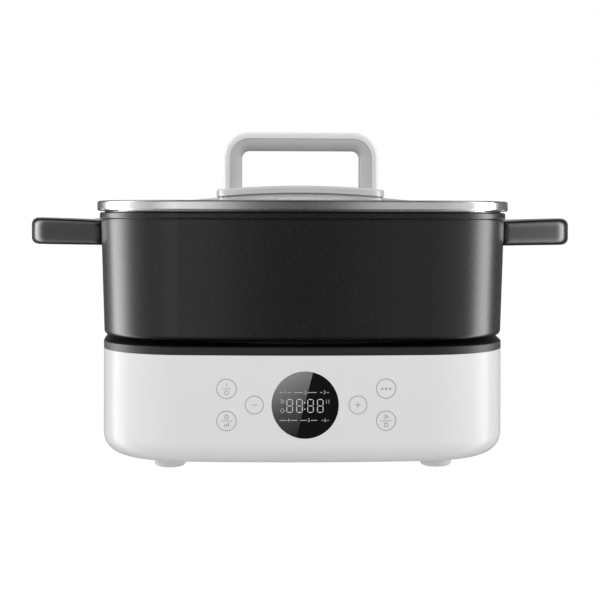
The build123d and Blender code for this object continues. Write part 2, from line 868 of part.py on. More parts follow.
with BuildPart() as display_lens:
    with BuildSketch(Plane.XZ.offset(-lens_back_y)):
        with Locations((0, display_z)):
            Circle(lens_radius)
    extrude(amount=housing_wall + lens_flange_thickness + side_bow)
    add(prism(base_outline, 0, housing_top_z), mode=Mode.INTERSECT)
    with BuildSketch(Plane.XZ.offset(-lens_back_y)):
        with Locations((0, display_z)):
            Circle(lens_radius + lens_flange)
            Circle(lens_radius - lens_flange_lap, mode=Mode.SUBTRACT)
    extrude(amount=lens_flange_thickness - wall_setback(lens_radius + lens_flange))
display_lens.part.label = "display_lens"
export_step(display_lens.part, "parts/display_lens.step")

led_depth = board_front_y - lens_back_y - 2 * part_gap
with BuildPart() as led_display:
    with BuildSketch(Plane.XZ.offset(-board_front_y + part_gap)):
        with Locations((0, display_z)):
            RectangleRounded(led_width, led_height, led_corner)
    extrude(amount=led_depth)
led_display.part.label = "led_display"
export_step(led_display.part, "parts/led_display.step")

key_points = [
    (-outer_key_x, display_z + outer_key_rise),
    (-outer_key_x, display_z - outer_key_rise),
    (-inner_key_x, display_z),
    (inner_key_x, display_z),
    (outer_key_x, display_z + outer_key_rise),
    (outer_key_x, display_z - outer_key_rise),
]
with BuildPart() as key_pads:
    for key_x, key_z in key_points:
        key_reach = board_setback - wall_setback(abs(key_x) + key_pad_radius) - 2 * part_gap
        with BuildSketch(Plane.XZ.offset(-board_front_y + part_gap)):
            with Locations((key_x, key_z)):
                Circle(key_pad_radius)
                Circle(key_pad_radius / 2, mode=Mode.SUBTRACT)
        extrude(amount=key_reach)
key_pads.part.label = "key_pads"
export_step(key_pads.part, "parts/key_pads.step")

with BuildPart() as control_board:
    with BuildSketch(Plane.XZ.offset(-board_back_y)):
        with Locations((0, display_z)):
            Rectangle(control_board_width, control_board_height)
        with Locations(*board_screw_points):
            Circle(small_screw_radius + part_gap, mode=Mode.SUBTRACT)
    extrude(amount=board_thickness)
control_board.part.label = "control_board"
export_step(control_board.part, "parts/control_board.step")

buzzer_point = (inner_key_x, display_z - buzzer_drop)
with BuildPart() as buzzer:
    with BuildSketch(Plane.XZ.offset(-board_back_y - part_gap)):
        with Locations(buzzer_point):
            Circle(buzzer_radius)
    extrude(amount=-buzzer_height)
    with BuildSketch(Plane.XZ.offset(-board_back_y - part_gap - buzzer_height)):
        with Locations(buzzer_point):
            Circle(buzzer_port_radius)
    extrude(amount=buzzer_height / 2, mode=Mode.SUBTRACT)
buzzer.part.label = "buzzer"
export_step(buzzer.part, "parts/buzzer.step")

control_screw = pan_screw(small_screw_radius, control_screw_length, small_head_radius, small_head_height)
with BuildPart() as control_board_screws:
    for screw_x, screw_z in board_screw_points:
        add(control_screw.moved(Plane(origin=(screw_x, board_back_y, screw_z), z_dir=(0, -1, 0)).location))
control_board_screws.part.label = "control_board_screws"
export_step(control_board_screws.part, "parts/control_board_screws.step")

# ---------------------------------------------------------------- base: power board

board_top_z = board_z + board_thickness
part_lift = board_top_z + part_gap
relay_point = (relay_inset - power_board_width / 2, power_board_y + relay_y)
terminal_point = (power_board_width / 2 - terminal_inset, power_board_y + terminal_y)

with BuildPart() as power_board:
    with BuildSketch(Plane.XY.offset(board_z)):
        with Locations((0, power_board_y)):
            Rectangle(power_board_width, power_board_depth)
        with Locations(*power_board_points):
            Circle(small_screw_radius + part_gap, mode=Mode.SUBTRACT)
    extrude(amount=board_thickness)
power_board.part.label = "power_board"
export_step(power_board.part, "parts/power_board.step")

with BuildPart() as power_relay:
    with BuildSketch(Plane.XY.offset(part_lift)):
        with Locations(relay_point):
            RectangleRounded(relay_width, relay_depth, relay_corner)
    extrude(amount=relay_height)
power_relay.part.label = "power_relay"
export_step(power_relay.part, "parts/power_relay.step")

with BuildPart() as filter_capacitors:
    with BuildSketch(Plane.XY.offset(part_lift)):
        with Locations((film_capacitor_x, power_board_y + film_capacitor_y)):
            Rectangle(film_capacitor_width, film_capacitor_depth)
    extrude(amount=film_capacitor_height)
    with BuildSketch(Plane.XY.offset(part_lift)):
        with Locations((can_capacitor_x, power_board_y + can_capacitor_y)):
            with GridLocations(can_capacitor_pitch, 1, 2, 1):
                Circle(can_capacitor_radius)
    extrude(amount=can_capacitor_height)
filter_capacitors.part.label = "filter_capacitors"
export_step(filter_capacitors.part, "parts/filter_capacitors.step")

transformer_point = (transformer_x, power_board_y + transformer_y)
winding_top = part_lift + transformer_flange + transformer_winding_height
with BuildPart() as transformer:
    for flange_z in (part_lift, winding_top):
        with BuildSketch(Plane.XY.offset(flange_z)):
            with Locations(transformer_point):
                Rectangle(transformer_width, transformer_depth)
        extrude(amount=transformer_flange)
    with BuildSketch(Plane.XY.offset(part_lift)):
        with Locations(transformer_point):
            Circle(transformer_winding_radius)
    extrude(amount=transformer_flange + transformer_winding_height)
transformer.part.label = "transformer"
export_step(transformer.part, "parts/transformer.step")

with BuildPart() as terminal_block:
    with BuildSketch(Plane.XY.offset(part_lift)):
        with Locations(terminal_point):
            Rectangle(terminal_width, terminal_depth)
    extrude(amount=terminal_height)
    with BuildSketch(Plane.XY.offset(part_lift + terminal_height)):
        with Locations(terminal_point):
            with GridLocations(terminal_pitch, 1, 3, 1):
                Circle(terminal_hole_radius)
    extrude(amount=-terminal_hole_depth, mode=Mode.SUBTRACT)
terminal_block.part.label = "terminal_block"
export_step(terminal_block.part, "parts/terminal_block.step")

board_screw = pan_screw(small_screw_radius, board_screw_length, small_head_radius, small_head_height)
with BuildPart() as power_board_screws:
    for screw_x, screw_y in power_board_points:
        add(board_screw.moved(Plane(origin=(screw_x, screw_y, board_top_z), z_dir=(0, 0, -1)).location))
power_board_screws.part.label = "power_board_screws"
export_step(power_board_screws.part, "parts/power_board_screws.step")

# ---------------------------------------------------------------- base: mains inlet

inlet_flange_back_y = rear_y + part_gap
inlet_face_y = inlet_flange_back_y + inlet_flange_thickness
socket_floor_y = inlet_face_y - socket_depth

with BuildPart() as inlet_body:
    with BuildSketch(Plane.XZ.offset(-inlet_face_y)):
        with Locations((0, inlet_z)):
            RectangleRounded(inlet_flange_width, inlet_flange_height, inlet_flange_corner)
    extrude(amount=inlet_flange_thickness)
    with BuildSketch(Plane.XZ.offset(-inlet_flange_back_y)):
        with Locations((0, inlet_z)):
            Rectangle(inlet_width, inlet_height)
    extrude(amount=inlet_depth)
    with BuildSketch(Plane.XZ.offset(-inlet_face_y)):
        with Locations((-inlet_screw_x, inlet_z), (inlet_screw_x, inlet_z)):
            Circle(small_screw_radius + part_gap)
    extrude(amount=inlet_flange_thickness, mode=Mode.SUBTRACT)
    with BuildSketch(Plane.XZ.offset(-inlet_face_y)) as socket_mouth:
        with Locations((0, inlet_z)):
            Rectangle(socket_width, socket_height)
        chamfer(socket_mouth.vertices().group_by(Axis.Y)[-1], socket_chamfer)
    extrude(amount=socket_depth, mode=Mode.SUBTRACT)
    with BuildSketch(Plane.XZ.offset(-socket_floor_y)):
        with Locations(
            (-pin_spacing, inlet_z), (0, inlet_z + earth_pin_rise), (pin_spacing, inlet_z)
        ):
            Rectangle(pin_thickness + 2 * part_gap, pin_width + 2 * part_gap)
    extrude(amount=inlet_depth, mode=Mode.SUBTRACT)
inlet_body.part.label = "inlet_body"
export_step(inlet_body.part, "parts/inlet_body.step")

inlet_back_y = inlet_flange_back_y - inlet_depth
with BuildPart() as inlet_pins:
    with BuildSketch(Plane.XZ.offset(-socket_floor_y - pin_length)):
        with Locations(
            (-pin_spacing, inlet_z), (0, inlet_z + earth_pin_rise), (pin_spacing, inlet_z)
        ):
            Rectangle(pin_thickness, pin_width)
    extrude(amount=pin_length + socket_floor_y - inlet_back_y + pin_tail)
inlet_pins.part.label = "inlet_pins"
export_step(inlet_pins.part, "parts/inlet_pins.step")

inlet_screw = pan_screw(small_screw_radius, inlet_screw_length, small_head_radius, small_head_height)
with BuildPart() as inlet_screws:
    for screw_x in (-inlet_screw_x, inlet_screw_x):
        add(inlet_screw.moved(Plane(origin=(screw_x, inlet_face_y, inlet_z), z_dir=(0, -1, 0)).location))
inlet_screws.part.label = "inlet_screws"
export_step(inlet_screws.part, "parts/inlet_screws.step")

# ---------------------------------------------------------------- pot

lip_outer = pot_flare + lip_overhang
ear_bottom_z = groove_z - ear_drop
ear_mid_z = ear_bottom_z + ear_height / 2


def pot_growth(level):
    """How far the tapered pot wall stands outside the base outline at a level."""
    return (pot_flare + pot_tuck) * (level - pot_floor_z) / (groove_z - pot_floor_z) - pot_tuck


wall_x = base_width / 2 + pot_growth(ear_mid_z)
lug_face_x = wall_x + lug_reach
lug_points = [(-lug_spacing / 2, ear_mid_z), (lug_spacing / 2, ear_mid_z)]
lug_root = pot_wall + 2 * (pot_flare - pot_growth(ear_mid_z)) + wall_setback(lug_spacing / 2 + lug_radius)
lug_bore_depth = lug_reach - lug_bore_floor

with BuildPart() as pot_body:
    add(tub(grown(-pot_tuck), grown(pot_flare), pot_floor_z, groove_z, pot_bottom_round))
    # The lip stands out over a fine groove and carries a raised bead for the lid.
    add(prism(grown(pot_flare - lip_groove), groove_z, lip_z))
    add(prism(grown(lip_outer), lip_z, lip_top_z))
    lip_top = pot_body.faces().filter_by(Axis.Z).sort_by(Axis.Z)[-1]
    lip_bottom = pot_body.faces().filter_by(Axis.Z).group_by(Axis.Z)[-2].sort_by(SortBy.AREA)[-1]
    fillet(lip_top.edges() + lip_bottom.outer_wire().edges(), lip_round)
    add(prism(grown(lip_outer - bead_inset), lip_top_z, lip_top_z + bead_height))
    with BuildSketch(Plane.XY.offset(contact_z)):
        Circle(contact_radius)
    extrude(amount=contact_drop)
    fillet(pot_body.faces().filter_by(Axis.Z).sort_by(Axis.Z)[0].edges(), contact_round)
    # Lugs on both sides take the ear handles.
    for side in (-1, 1):
        with BuildSketch(Plane.YZ.offset(side * lug_face_x)):
            with Locations(*lug_points):
                Circle(lug_radius)
        extrude(amount=-side * (lug_reach + lug_root / 2))
        with BuildSketch(Plane.YZ.offset(side * lug_face_x)):
            with Locations(*lug_points):
                Circle(screw_radius)
        extrude(amount=-side * lug_bore_depth, mode=Mode.SUBTRACT)
    add(
        tub(
            grown(-pot_tuck - pot_wall),
            grown(pot_flare - pot_wall),
            pot_floor_z + pot_floor,
            groove_z,
            pot_inside_round,
        ),
        mode=Mode.SUBTRACT,
    )
    add(prism(grown(pot_flare - pot_wall), groove_z, lip_top_z + bead_height), mode=Mode.SUBTRACT)
pot_body.part.label = "pot_body"
export_step(pot_body.part, "parts/pot_body.step")

# ---------------------------------------------------------------- pot: ear handles

ear_reach = wall_x + ear_length
bridge_x = wall_x + ear_bridge
gap_corner = min(ear_hole_corner, (ear_length - ear_bridge - ear_bar) / 3)
head_recess_x = bridge_x - screw_head_height - seat_gap
ear_slope = (ear_root_half - ear_tip_half) / (ear_length - ear_tip_bow)
ear_inner_half = ear_root_half + ear_slope * ear_overlap
ear_sag = ear_crown * (ear_inner_half / ear_root_half) ** 2
pot_envelope = tub(
    grown(ear_seam - pot_tuck), grown(pot_flare + ear_seam), pot_floor_z, groove_z, pot_bottom_round
)
pot_neck = prism(grown(lip_outer + ear_seam), groove_z, lip_top_z)

for ear_name, side in (("ear_left", -1), ("ear_right", 1)):
    outward = Axis((0, 0, 0), (side, 0, 0))
    with BuildSketch(Plane.XY.offset(ear_bottom_z), mode=Mode.PRIVATE) as ear_plan:
        with BuildLine():
            tip = ThreePointArc(
                (side * (ear_reach - ear_tip_bow), -ear_tip_half),
                (side * ear_reach, 0),
                (side * (ear_reach - ear_tip_bow), ear_tip_half),
            )
            Polyline(
                tip @ 0,
                (side * (wall_x - ear_overlap), -ear_inner_half),
                (side * (wall_x - ear_overlap), ear_inner_half),
                tip @ 1,
            )
        make_face()
        fillet(ear_plan.vertices().sort_by(outward)[-2:], ear_corner)
    with BuildPart() as ear:
        with BuildSketch(Plane.XY.offset(ear_bottom_z)):
            add(ear_plan.sketch_local)
        extrude(amount=ear_height)
        # The top face is crowned across the ear and falls a little towards the pot.
        with BuildSketch(
            Plane(
                origin=(0, 0, ear_bottom_z + ear_height - ear_reach * ear_rake / ear_length),
                x_dir=(0, side, 0),
                z_dir=(side * ear_length, 0, ear_rake),
            )
        ):
            with BuildLine():
                crown = ThreePointArc((-ear_inner_half, -ear_sag), (0, 0), (ear_inner_half, -ear_sag))
                Polyline(
                    crown @ 1,
                    (ear_inner_half, -2 * ear_height),
                    (-ear_inner_half, -2 * ear_height),
                    crown @ 0,
                )
            make_face()
        extrude(amount=2 * ear_reach, mode=Mode.INTERSECT)
        with BuildSketch(Plane.XY.offset(ear_bottom_z)) as finger_gap:
            add(offset(ear_plan.sketch_local, amount=-ear_bar, mode=Mode.PRIVATE))
            with Locations((side * (bridge_x + ear_reach / 2), 0)):
                Rectangle(ear_reach, 2 * ear_root_half, mode=Mode.INTERSECT)
            fillet(finger_gap.vertices().sort_by(outward)[:2], gap_corner)
        extrude(amount=ear_height, mode=Mode.SUBTRACT)
        upright = ear.faces().sort_by(Axis.Z)
        fillet(upright[0].edges() + upright[-1].edges(), ear_edge_round)
        add(pot_envelope, mode=Mode.SUBTRACT)
        add(pot_neck, mode=Mode.SUBTRACT)
        # Sockets for the lugs, and stepped holes for the screws.
        with BuildSketch(Plane.YZ.offset(side * (lug_face_x + part_gap))):
            with Locations(*lug_points):
                Circle(lug_radius + part_gap)
        extrude(amount=-side * (lug_reach + 2), mode=Mode.SUBTRACT)
        with BuildSketch(Plane.YZ.offset(side * lug_face_x)):
            with Locations(*lug_points):
                Circle(screw_radius + part_gap)
        extrude(amount=side * ear_bridge, mode=Mode.SUBTRACT)
        with BuildSketch(Plane.YZ.offset(side * head_recess_x)):
            with Locations(*lug_points):
                Circle(screw_head_radius + seat_gap)
        extrude(amount=side * ear_bridge, mode=Mode.SUBTRACT)
    ear.part.label = ear_name
    export_step(ear.part, f"parts/{ear_name}.step")

ear_screw_length = head_recess_x - lug_face_x + lug_bore_depth - seat_gap
ear_screw = pan_screw(screw_radius, ear_screw_length, screw_head_radius, screw_head_height)
with BuildPart() as ear_screws:
    for side in (-1, 1):
        for screw_y, screw_z in lug_points:
            seat = Plane(origin=(side * head_recess_x, screw_y, screw_z), z_dir=(-side, 0, 0))
            add(ear_screw.moved(seat.location))
ear_screws.part.label = "ear_screws"
export_step(ear_screws.part, "parts/ear_screws.step")

# ---------------------------------------------------------------- lid

leg_x = handle_half_width - shell_thickness - grip_thickness / 2
leg_points = [(-leg_x, 0), (leg_x, 0)]
seal_seat_z = (
    glass_bottom_z + dome_rise * (1 - 0.5 * ((leg_x + seal_radius) / dome_bend) ** 2) - seal_sheet
)
saddle_top = gasket_thickness + saddle_thickness
rim_pocket = rim_overhang - rim_sheet
skirt_outer = pot_flare - pot_wall - skirt_gap

with BuildPart() as lid_glass:
    add(prism(grown(rim_pocket - part_gap), rim_z, rim_top_z + dome_rise))
    add(dome_layer(-glass_thickness, 0), mode=Mode.INTERSECT)
    with BuildSketch(Plane.XY.offset(rim_z)):
        with Locations(*leg_points):
            Circle(glass_hole_radius)
        with Locations((0, vent_y)):
            Circle(vent_radius)
    extrude(amount=rim_height + dome_rise, mode=Mode.SUBTRACT)
lid_glass.part.label = "lid_glass"
export_step(lid_glass.part, "parts/lid_glass.step")

with BuildPart() as lid_rim:
    add(prism(grown(rim_overhang), rim_z, rim_top_z))
    fillet(lid_rim.faces().filter_by(Axis.Z).edges(), rim_round)
    add(prism(grown(skirt_outer), rim_z - skirt_depth, rim_z + rim_hem))
    add(prism(grown(rim_pocket), rim_z + rim_hem, rim_top_z - rim_sheet), mode=Mode.SUBTRACT)
    add(prism(grown(rim_overhang - rim_lap), rim_z + rim_hem, rim_top_z), mode=Mode.SUBTRACT)
    add(prism(grown(skirt_outer - skirt_sheet), rim_z - skirt_depth, rim_top_z), mode=Mode.SUBTRACT)
lid_rim.part.label = "lid_rim"
export_step(lid_rim.part, "parts/lid_rim.step")

with BuildPart() as steam_vent:
    with BuildSketch(Plane.XY.offset(rim_z)):
        with Locations((0, vent_y)):
            Circle(vent_radius + vent_flange)
    extrude(amount=rim_height + 2 * dome_rise)
    add(dome_layer(-glass_thickness - vent_lip, vent_lip), mode=Mode.INTERSECT)
    with BuildSketch(Plane.XY.offset(rim_z)):
        with Locations((0, vent_y)):
            Circle(vent_radius + vent_flange + 1)
            Circle(vent_radius - part_gap, mode=Mode.SUBTRACT)
    groove = extrude(amount=rim_height + 2 * dome_rise, mode=Mode.PRIVATE)
    add(groove.intersect(dome_layer(-glass_thickness - part_gap, part_gap)), mode=Mode.SUBTRACT)
    with BuildSketch(Plane.XY.offset(rim_z)):
        with Locations((0, vent_y)):
            Circle(vent_bore_radius)
    extrude(amount=rim_height + 2 * dome_rise, mode=Mode.SUBTRACT)
steam_vent.part.label = "steam_vent"
export_step(steam_vent.part, "parts/steam_vent.step")

# ---------------------------------------------------------------- lid: handle

with BuildPart() as handle_gasket:
    with BuildSketch(Plane.XY.offset(rim_top_z)):
        SlotOverall(saddle_length - 2 * gasket_inset, saddle_width - 2 * gasket_inset)
        with Locations(*leg_points):
            Circle(screw_radius + part_gap, mode=Mode.SUBTRACT)
    extrude(amount=2 * dome_rise)
    add(dome_layer(part_gap, gasket_thickness - part_gap), mode=Mode.INTERSECT)
handle_gasket.part.label = "handle_gasket"
export_step(handle_gasket.part, "parts/handle_gasket.step")

with BuildPart() as handle_saddle:
    with BuildSketch(Plane.XY.offset(rim_top_z)):
        SlotOverall(saddle_length, saddle_width)
    extrude(amount=2 * dome_rise)
    add(dome_layer(gasket_thickness, saddle_top), mode=Mode.INTERSECT)
    fillet(handle_saddle.faces().sort_by(Axis.Z)[-1].edges(), saddle_edge_round)
    with BuildSketch(Plane.XY.offset(rim_z)):
        with Locations(*leg_points):
            Circle(screw_radius + part_gap)
    extrude(amount=rim_height + 2 * dome_rise, mode=Mode.SUBTRACT)
handle_saddle.part.label = "handle_saddle"
export_step(handle_saddle.part, "parts/handle_saddle.step")

handle_foot_z = glass_top_z
seam_half_width = handle_half_width - shell_thickness
seam_top_z = handle_top_z - shell_thickness
with BuildLine(Plane.XZ) as seam_line:
    FilletPolyline(
        (-seam_half_width, handle_foot_z),
        (-seam_half_width, seam_top_z),
        (seam_half_width, seam_top_z),
        (seam_half_width, handle_foot_z),
        radius=handle_corner - shell_thickness,
    )
section_plane = Plane(origin=(-seam_half_width, 0, handle_foot_z), x_dir=(-1, 0, 0), z_dir=(0, 0, 1))
under_handle = dome_layer(-dome_rise, saddle_top + part_gap)

with BuildPart() as handle_shell:
    with BuildSketch(section_plane) as shell_section:
        with Locations(((seam_gap + shell_thickness) / 2, 0)):
            Rectangle(shell_thickness - seam_gap, shell_width)
        fillet(shell_section.vertices().sort_by(Axis.X)[-2:], shell_edge_round)
    sweep(path=seam_line.wires()[0])
    add(under_handle, mode=Mode.SUBTRACT)
handle_shell.part.label = "handle_shell"
export_step(handle_shell.part, "parts/handle_shell.step")

with BuildPart() as handle_grip:
    with BuildSketch(section_plane) as grip_section:
        with BuildLine():
            middle_half = (grip_width + grip_inner_width) / 4 + grip_bulge
            for half in (-1, 1):
                ThreePointArc(
                    (0, half * grip_width / 2),
                    (-grip_thickness / 2, half * middle_half),
                    (-grip_thickness, half * grip_inner_width / 2),
                )
            for across, breadth in ((0, grip_width), (-grip_thickness, grip_inner_width)):
                Line((across, -breadth / 2), (across, breadth / 2))
        make_face()
        fillet(grip_section.vertices().sort_by(Axis.X)[:2], grip_edge_round)
    sweep(path=seam_line.wires()[0])
    add(under_handle, mode=Mode.SUBTRACT)
    with BuildSketch(Plane.XY.offset(handle_foot_z)):
        with Locations(*leg_points):
            Circle(screw_radius)
    extrude(amount=handle_bore_depth, mode=Mode.SUBTRACT)
handle_grip.part.label = "handle_grip"
export_step(handle_grip.part, "parts/handle_grip.step")

with BuildPart() as handle_seals:
    with BuildSketch(Plane.XY.offset(seal_seat_z)):
        with Locations(*leg_points):
            Circle(seal_radius)
    extrude(amount=glass_thickness)
    add(dome_layer(-glass_thickness - part_gap, dome_rise), mode=Mode.SUBTRACT)
    with BuildSketch(Plane.XY.offset(seal_seat_z)):
        with Locations(*leg_points):
            Circle(glass_hole_radius - part_gap)
    sleeve = extrude(amount=2 * glass_thickness, mode=Mode.PRIVATE)
    add(sleeve - dome_layer(0, 2 * dome_rise))
    with BuildSketch(Plane.XY.offset(seal_seat_z)):
        with Locations(*leg_points):
            Circle(screw_radius + part_gap)
    extrude(amount=3 * glass_thickness, mode=Mode.SUBTRACT)
handle_seals.part.label = "handle_seals"
export_step(handle_seals.part, "parts/handle_seals.step")

handle_screw = pan_screw(screw_radius, handle_screw_length, screw_head_radius, screw_head_height)
with BuildPart() as handle_screws:
    for screw_x, screw_y in leg_points:
        add(handle_screw.moved(Location((screw_x, screw_y, seal_seat_z))))
handle_screws.part.label = "handle_screws"
export_step(handle_screws.part, "parts/handle_screws.step")
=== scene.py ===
"""Electric hot pot, dressed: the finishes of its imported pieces, and its printed and moulded details."""

import math

import bpy
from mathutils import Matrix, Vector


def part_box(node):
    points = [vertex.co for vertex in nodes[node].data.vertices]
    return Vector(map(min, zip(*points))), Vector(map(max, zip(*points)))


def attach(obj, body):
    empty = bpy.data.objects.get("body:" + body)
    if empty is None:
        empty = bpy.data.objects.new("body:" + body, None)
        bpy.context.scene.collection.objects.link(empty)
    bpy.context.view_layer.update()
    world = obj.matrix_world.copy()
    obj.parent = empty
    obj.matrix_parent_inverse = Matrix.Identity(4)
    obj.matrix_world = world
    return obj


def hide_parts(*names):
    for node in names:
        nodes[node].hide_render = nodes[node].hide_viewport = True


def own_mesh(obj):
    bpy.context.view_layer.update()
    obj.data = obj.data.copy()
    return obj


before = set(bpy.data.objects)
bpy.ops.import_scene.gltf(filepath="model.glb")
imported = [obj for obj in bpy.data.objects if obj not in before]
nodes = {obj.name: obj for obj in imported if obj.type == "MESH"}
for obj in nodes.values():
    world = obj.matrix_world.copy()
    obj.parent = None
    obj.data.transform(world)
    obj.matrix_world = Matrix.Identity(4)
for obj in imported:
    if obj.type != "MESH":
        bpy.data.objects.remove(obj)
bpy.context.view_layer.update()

# ---------------------------------------------------------------- camera
# It stands in front of the pot at the height of the lid's rim, level, with a rising lens that keeps
# the upright walls parallel. A step to the left of the middle turns the base by a degree and a half.

camera_distance = 0.900
camera_height = 0.1587
camera_turn = math.radians(1.44)
camera_roll = math.radians(-0.13)
sensor_width = 36.0
focal_pixels = 1269.4
picture_width = 600
horizon_row = 217.9
axis_column = 300.45

bpy.ops.object.camera_add(
    location=(
        -camera_distance * math.sin(camera_turn),
        -camera_distance * math.cos(camera_turn),
        camera_height,
    ),
    rotation=(math.radians(90), camera_roll, -camera_turn),
)
camera = bpy.context.object
camera.data.lens = focal_pixels / picture_width * sensor_width
camera.data.sensor_width = sensor_width
camera.data.shift_y = (horizon_row - picture_width / 2) / picture_width
camera.data.shift_x = (picture_width / 2 - axis_column) / picture_width
bpy.context.scene.camera = camera

# ---------------------------------------------------------------- studio
# White paper under and behind the pot, a soft box at each side, one above the camera and one behind.
# Polished walls mirror only the room: a dark camera corner, grey walls and two bright sides. The soft
# boxes light the pieces without showing in them.

bpy.context.scene.view_settings.view_transform = "Standard"

# How bright the room is round the pot: (degrees to the right of the camera's side, brightness).
room_walls = (
    (-180, 0.62), (-170, 0.45), (-163, 0.14), (-141, 0.15), (-129, 0.50), (-120, 0.80),
    (-117, 8.0), (-99, 7.6), (-88, 3.2), (-79, 1.15), (-61, 0.72), (-47, 0.60), (-29, 0.89),
    (-14, 1.12), (-9, 0.63), (-6, 0.11), (6, 0.11), (8, 0.35), (11, 0.58), (16, 0.54), (25, 0.54),
    (43, 0.66), (57, 0.76), (71, 0.80), (78, 2.0), (88, 7.4), (106, 7.4), (109, 0.60),
    (118, 0.20), (163, 0.15), (170, 0.45), (180, 0.62),
)

world = bpy.data.worlds.new("studio")
bpy.context.scene.world = world
world.use_nodes = True
world.cycles.sampling_method = "NONE"
room = world.node_tree.nodes
room_links = world.node_tree.links
background = room["Background"]
background.inputs["Color"].default_value = (1, 1, 1, 1)
rays = room.new("ShaderNodeLightPath")
seen_straight = room.new("ShaderNodeMath")
seen_straight.operation = "MAXIMUM"
room_links.new(rays.outputs["Is Camera Ray"], seen_straight.inputs[0])
room_links.new(rays.outputs["Is Transmission Ray"], seen_straight.inputs[1])
plain_strength = room.new("ShaderNodeMapRange")
plain_strength.inputs["To Min"].default_value = 0.34
plain_strength.inputs["To Max"].default_value = 1.0
room_links.new(seen_straight.outputs[0], plain_strength.inputs["Value"])
direction = room.new("ShaderNodeTexCoord")
compass = room.new("ShaderNodeSeparateXYZ")
room_links.new(direction.outputs["Generated"], compass.inputs[0])
to_camera = room.new("ShaderNodeMath")
to_camera.operation = "MULTIPLY"
to_camera.inputs[1].default_value = -1.0
room_links.new(compass.outputs["Y"], to_camera.inputs[0])
bearing = room.new("ShaderNodeMath")
bearing.operation = "ARCTAN2"
room_links.new(compass.outputs["X"], bearing.inputs[0])
room_links.new(to_camera.outputs[0], bearing.inputs[1])
round_turn = room.new("ShaderNodeMapRange")
round_turn.inputs["From Min"].default_value = -math.pi
round_turn.inputs["From Max"].default_value = math.pi
room_links.new(bearing.outputs[0], round_turn.inputs["Value"])
walls = room.new("ShaderNodeValToRGB")
stops_at_first = len(walls.color_ramp.elements)
for number, (degrees, brightness) in enumerate(room_walls):
    turn = degrees / 360 + 0.5
    if number < stops_at_first:
        stop = walls.color_ramp.elements[number]
        stop.position = turn
    else:
        stop = walls.color_ramp.elements.new(turn)
    stop.color = (brightness, brightness, brightness, 1)
room_links.new(round_turn.outputs["Result"], walls.inputs["Fac"])
# The walls fade out above head height and below the table.
up_or_down = room.new("ShaderNodeMath")
up_or_down.operation = "ABSOLUTE"
room_links.new(compass.outputs["Z"], up_or_down.inputs[0])
fade = room.new("ShaderNodeMapRange")
fade.interpolation_type = "SMOOTHSTEP"
fade.inputs["From Min"].default_value = 0.25
fade.inputs["From Max"].default_value = 0.80
fade.inputs["To Min"].default_value = 1.0
fade.inputs["To Max"].default_value = 0.20
room_links.new(up_or_down.outputs[0], fade.inputs["Value"])
mirrored_room = room.new("ShaderNodeMath")
mirrored_room.operation = "MULTIPLY"
room_links.new(walls.outputs["Color"], mirrored_room.inputs[0])
room_links.new(fade.outputs["Result"], mirrored_room.inputs[1])
strength = room.new("ShaderNodeMix")
strength.data_type = "FLOAT"
room_links.new(rays.outputs["Is Glossy Ray"], strength.inputs["Factor"])
room_links.new(plain_strength.outputs["Result"], strength.inputs["A"])
room_links.new(mirrored_room.outputs[0], strength.inputs["B"])
room_links.new(strength.outputs["Result"], background.inputs["Strength"])

bpy.ops.mesh.primitive_plane_add(size=40.0, location=(0, 0, 0))
floor = bpy.context.object
floor.name = "paper_floor"
paper = bpy.data.materials.new("white_paper")
paper.use_nodes = True
paper.cycles.emission_sampling = "NONE"
sheet = paper.node_tree.nodes
sheet_links = paper.node_tree.links
fibre = sheet["Principled BSDF"]
fibre.inputs["Base Color"].default_value = (0.62, 0.62, 0.62, 1)
fibre.inputs["Roughness"].default_value = 0.9
fibre.inputs["Specular IOR Level"].default_value = 0.1
paper_rays = sheet.new("ShaderNodeLightPath")
straight_rays = sheet.new("ShaderNodeMath")
straight_rays.operation = "MAXIMUM"
sheet_links.new(paper_rays.outputs["Is Camera Ray"], straight_rays.inputs[0])
sheet_links.new(paper_rays.outputs["Is Transmission Ray"], straight_rays.inputs[1])
share_of_white = sheet.new("ShaderNodeMapRange")
share_of_white.inputs["To Min"].default_value = 0.32
share_of_white.inputs["To Max"].default_value = 0.90
sheet_links.new(straight_rays.outputs[0], share_of_white.inputs["Value"])
bright_paper = sheet.new("ShaderNodeEmission")
bright_paper.inputs["Strength"].default_value = 1.09
paper_mix = sheet.new("ShaderNodeMixShader")
sheet_links.new(share_of_white.outputs["Result"], paper_mix.inputs[0])
sheet_links.new(fibre.outputs[0], paper_mix.inputs[1])
sheet_links.new(bright_paper.outputs[0], paper_mix.inputs[2])
sheet_links.new(paper_mix.outputs[0], sheet["Material Output"].inputs["Surface"])
floor.data.materials.append(paper)
floor.visible_glossy = False


def soft_box(name, bearing, distance, up, tilt, width, height, power):
    """A soft box that faces the pot, at a bearing in degrees to the right of the camera's side."""
    angle = math.radians(bearing)
    bpy.ops.object.light_add(
        type="AREA",
        location=(distance * math.sin(angle), -distance * math.cos(angle), up),
        rotation=(math.radians(tilt), 0, angle),
    )
    box = bpy.context.object
    box.name = name
    box.data.shape = "RECTANGLE"
    box.data.size = width
    box.data.size_y = height
    box.data.energy = power
    box.visible_glossy = False


soft_box("soft_box_left", -86, 1.4, 0.40, 80, width=0.70, height=1.40, power=10.4)
soft_box("soft_box_right", 84, 1.4, 0.40, 80, width=0.70, height=1.40, power=10.4)
soft_box("soft_box_above_camera", 0, 1.1, 0.95, 52, width=1.2, height=1.2, power=8.7)
soft_box("soft_box_behind", 180, 1.1, 0.95, 52, width=1.2, height=1.2, power=6.0)

# ---------------------------------------------------------------- base housing and bottom cover
# The housing is a deep tray of white ABS, moulded in one piece with satin gloss walls.
# The bottom cover is the same plastic and is held by four small screws.


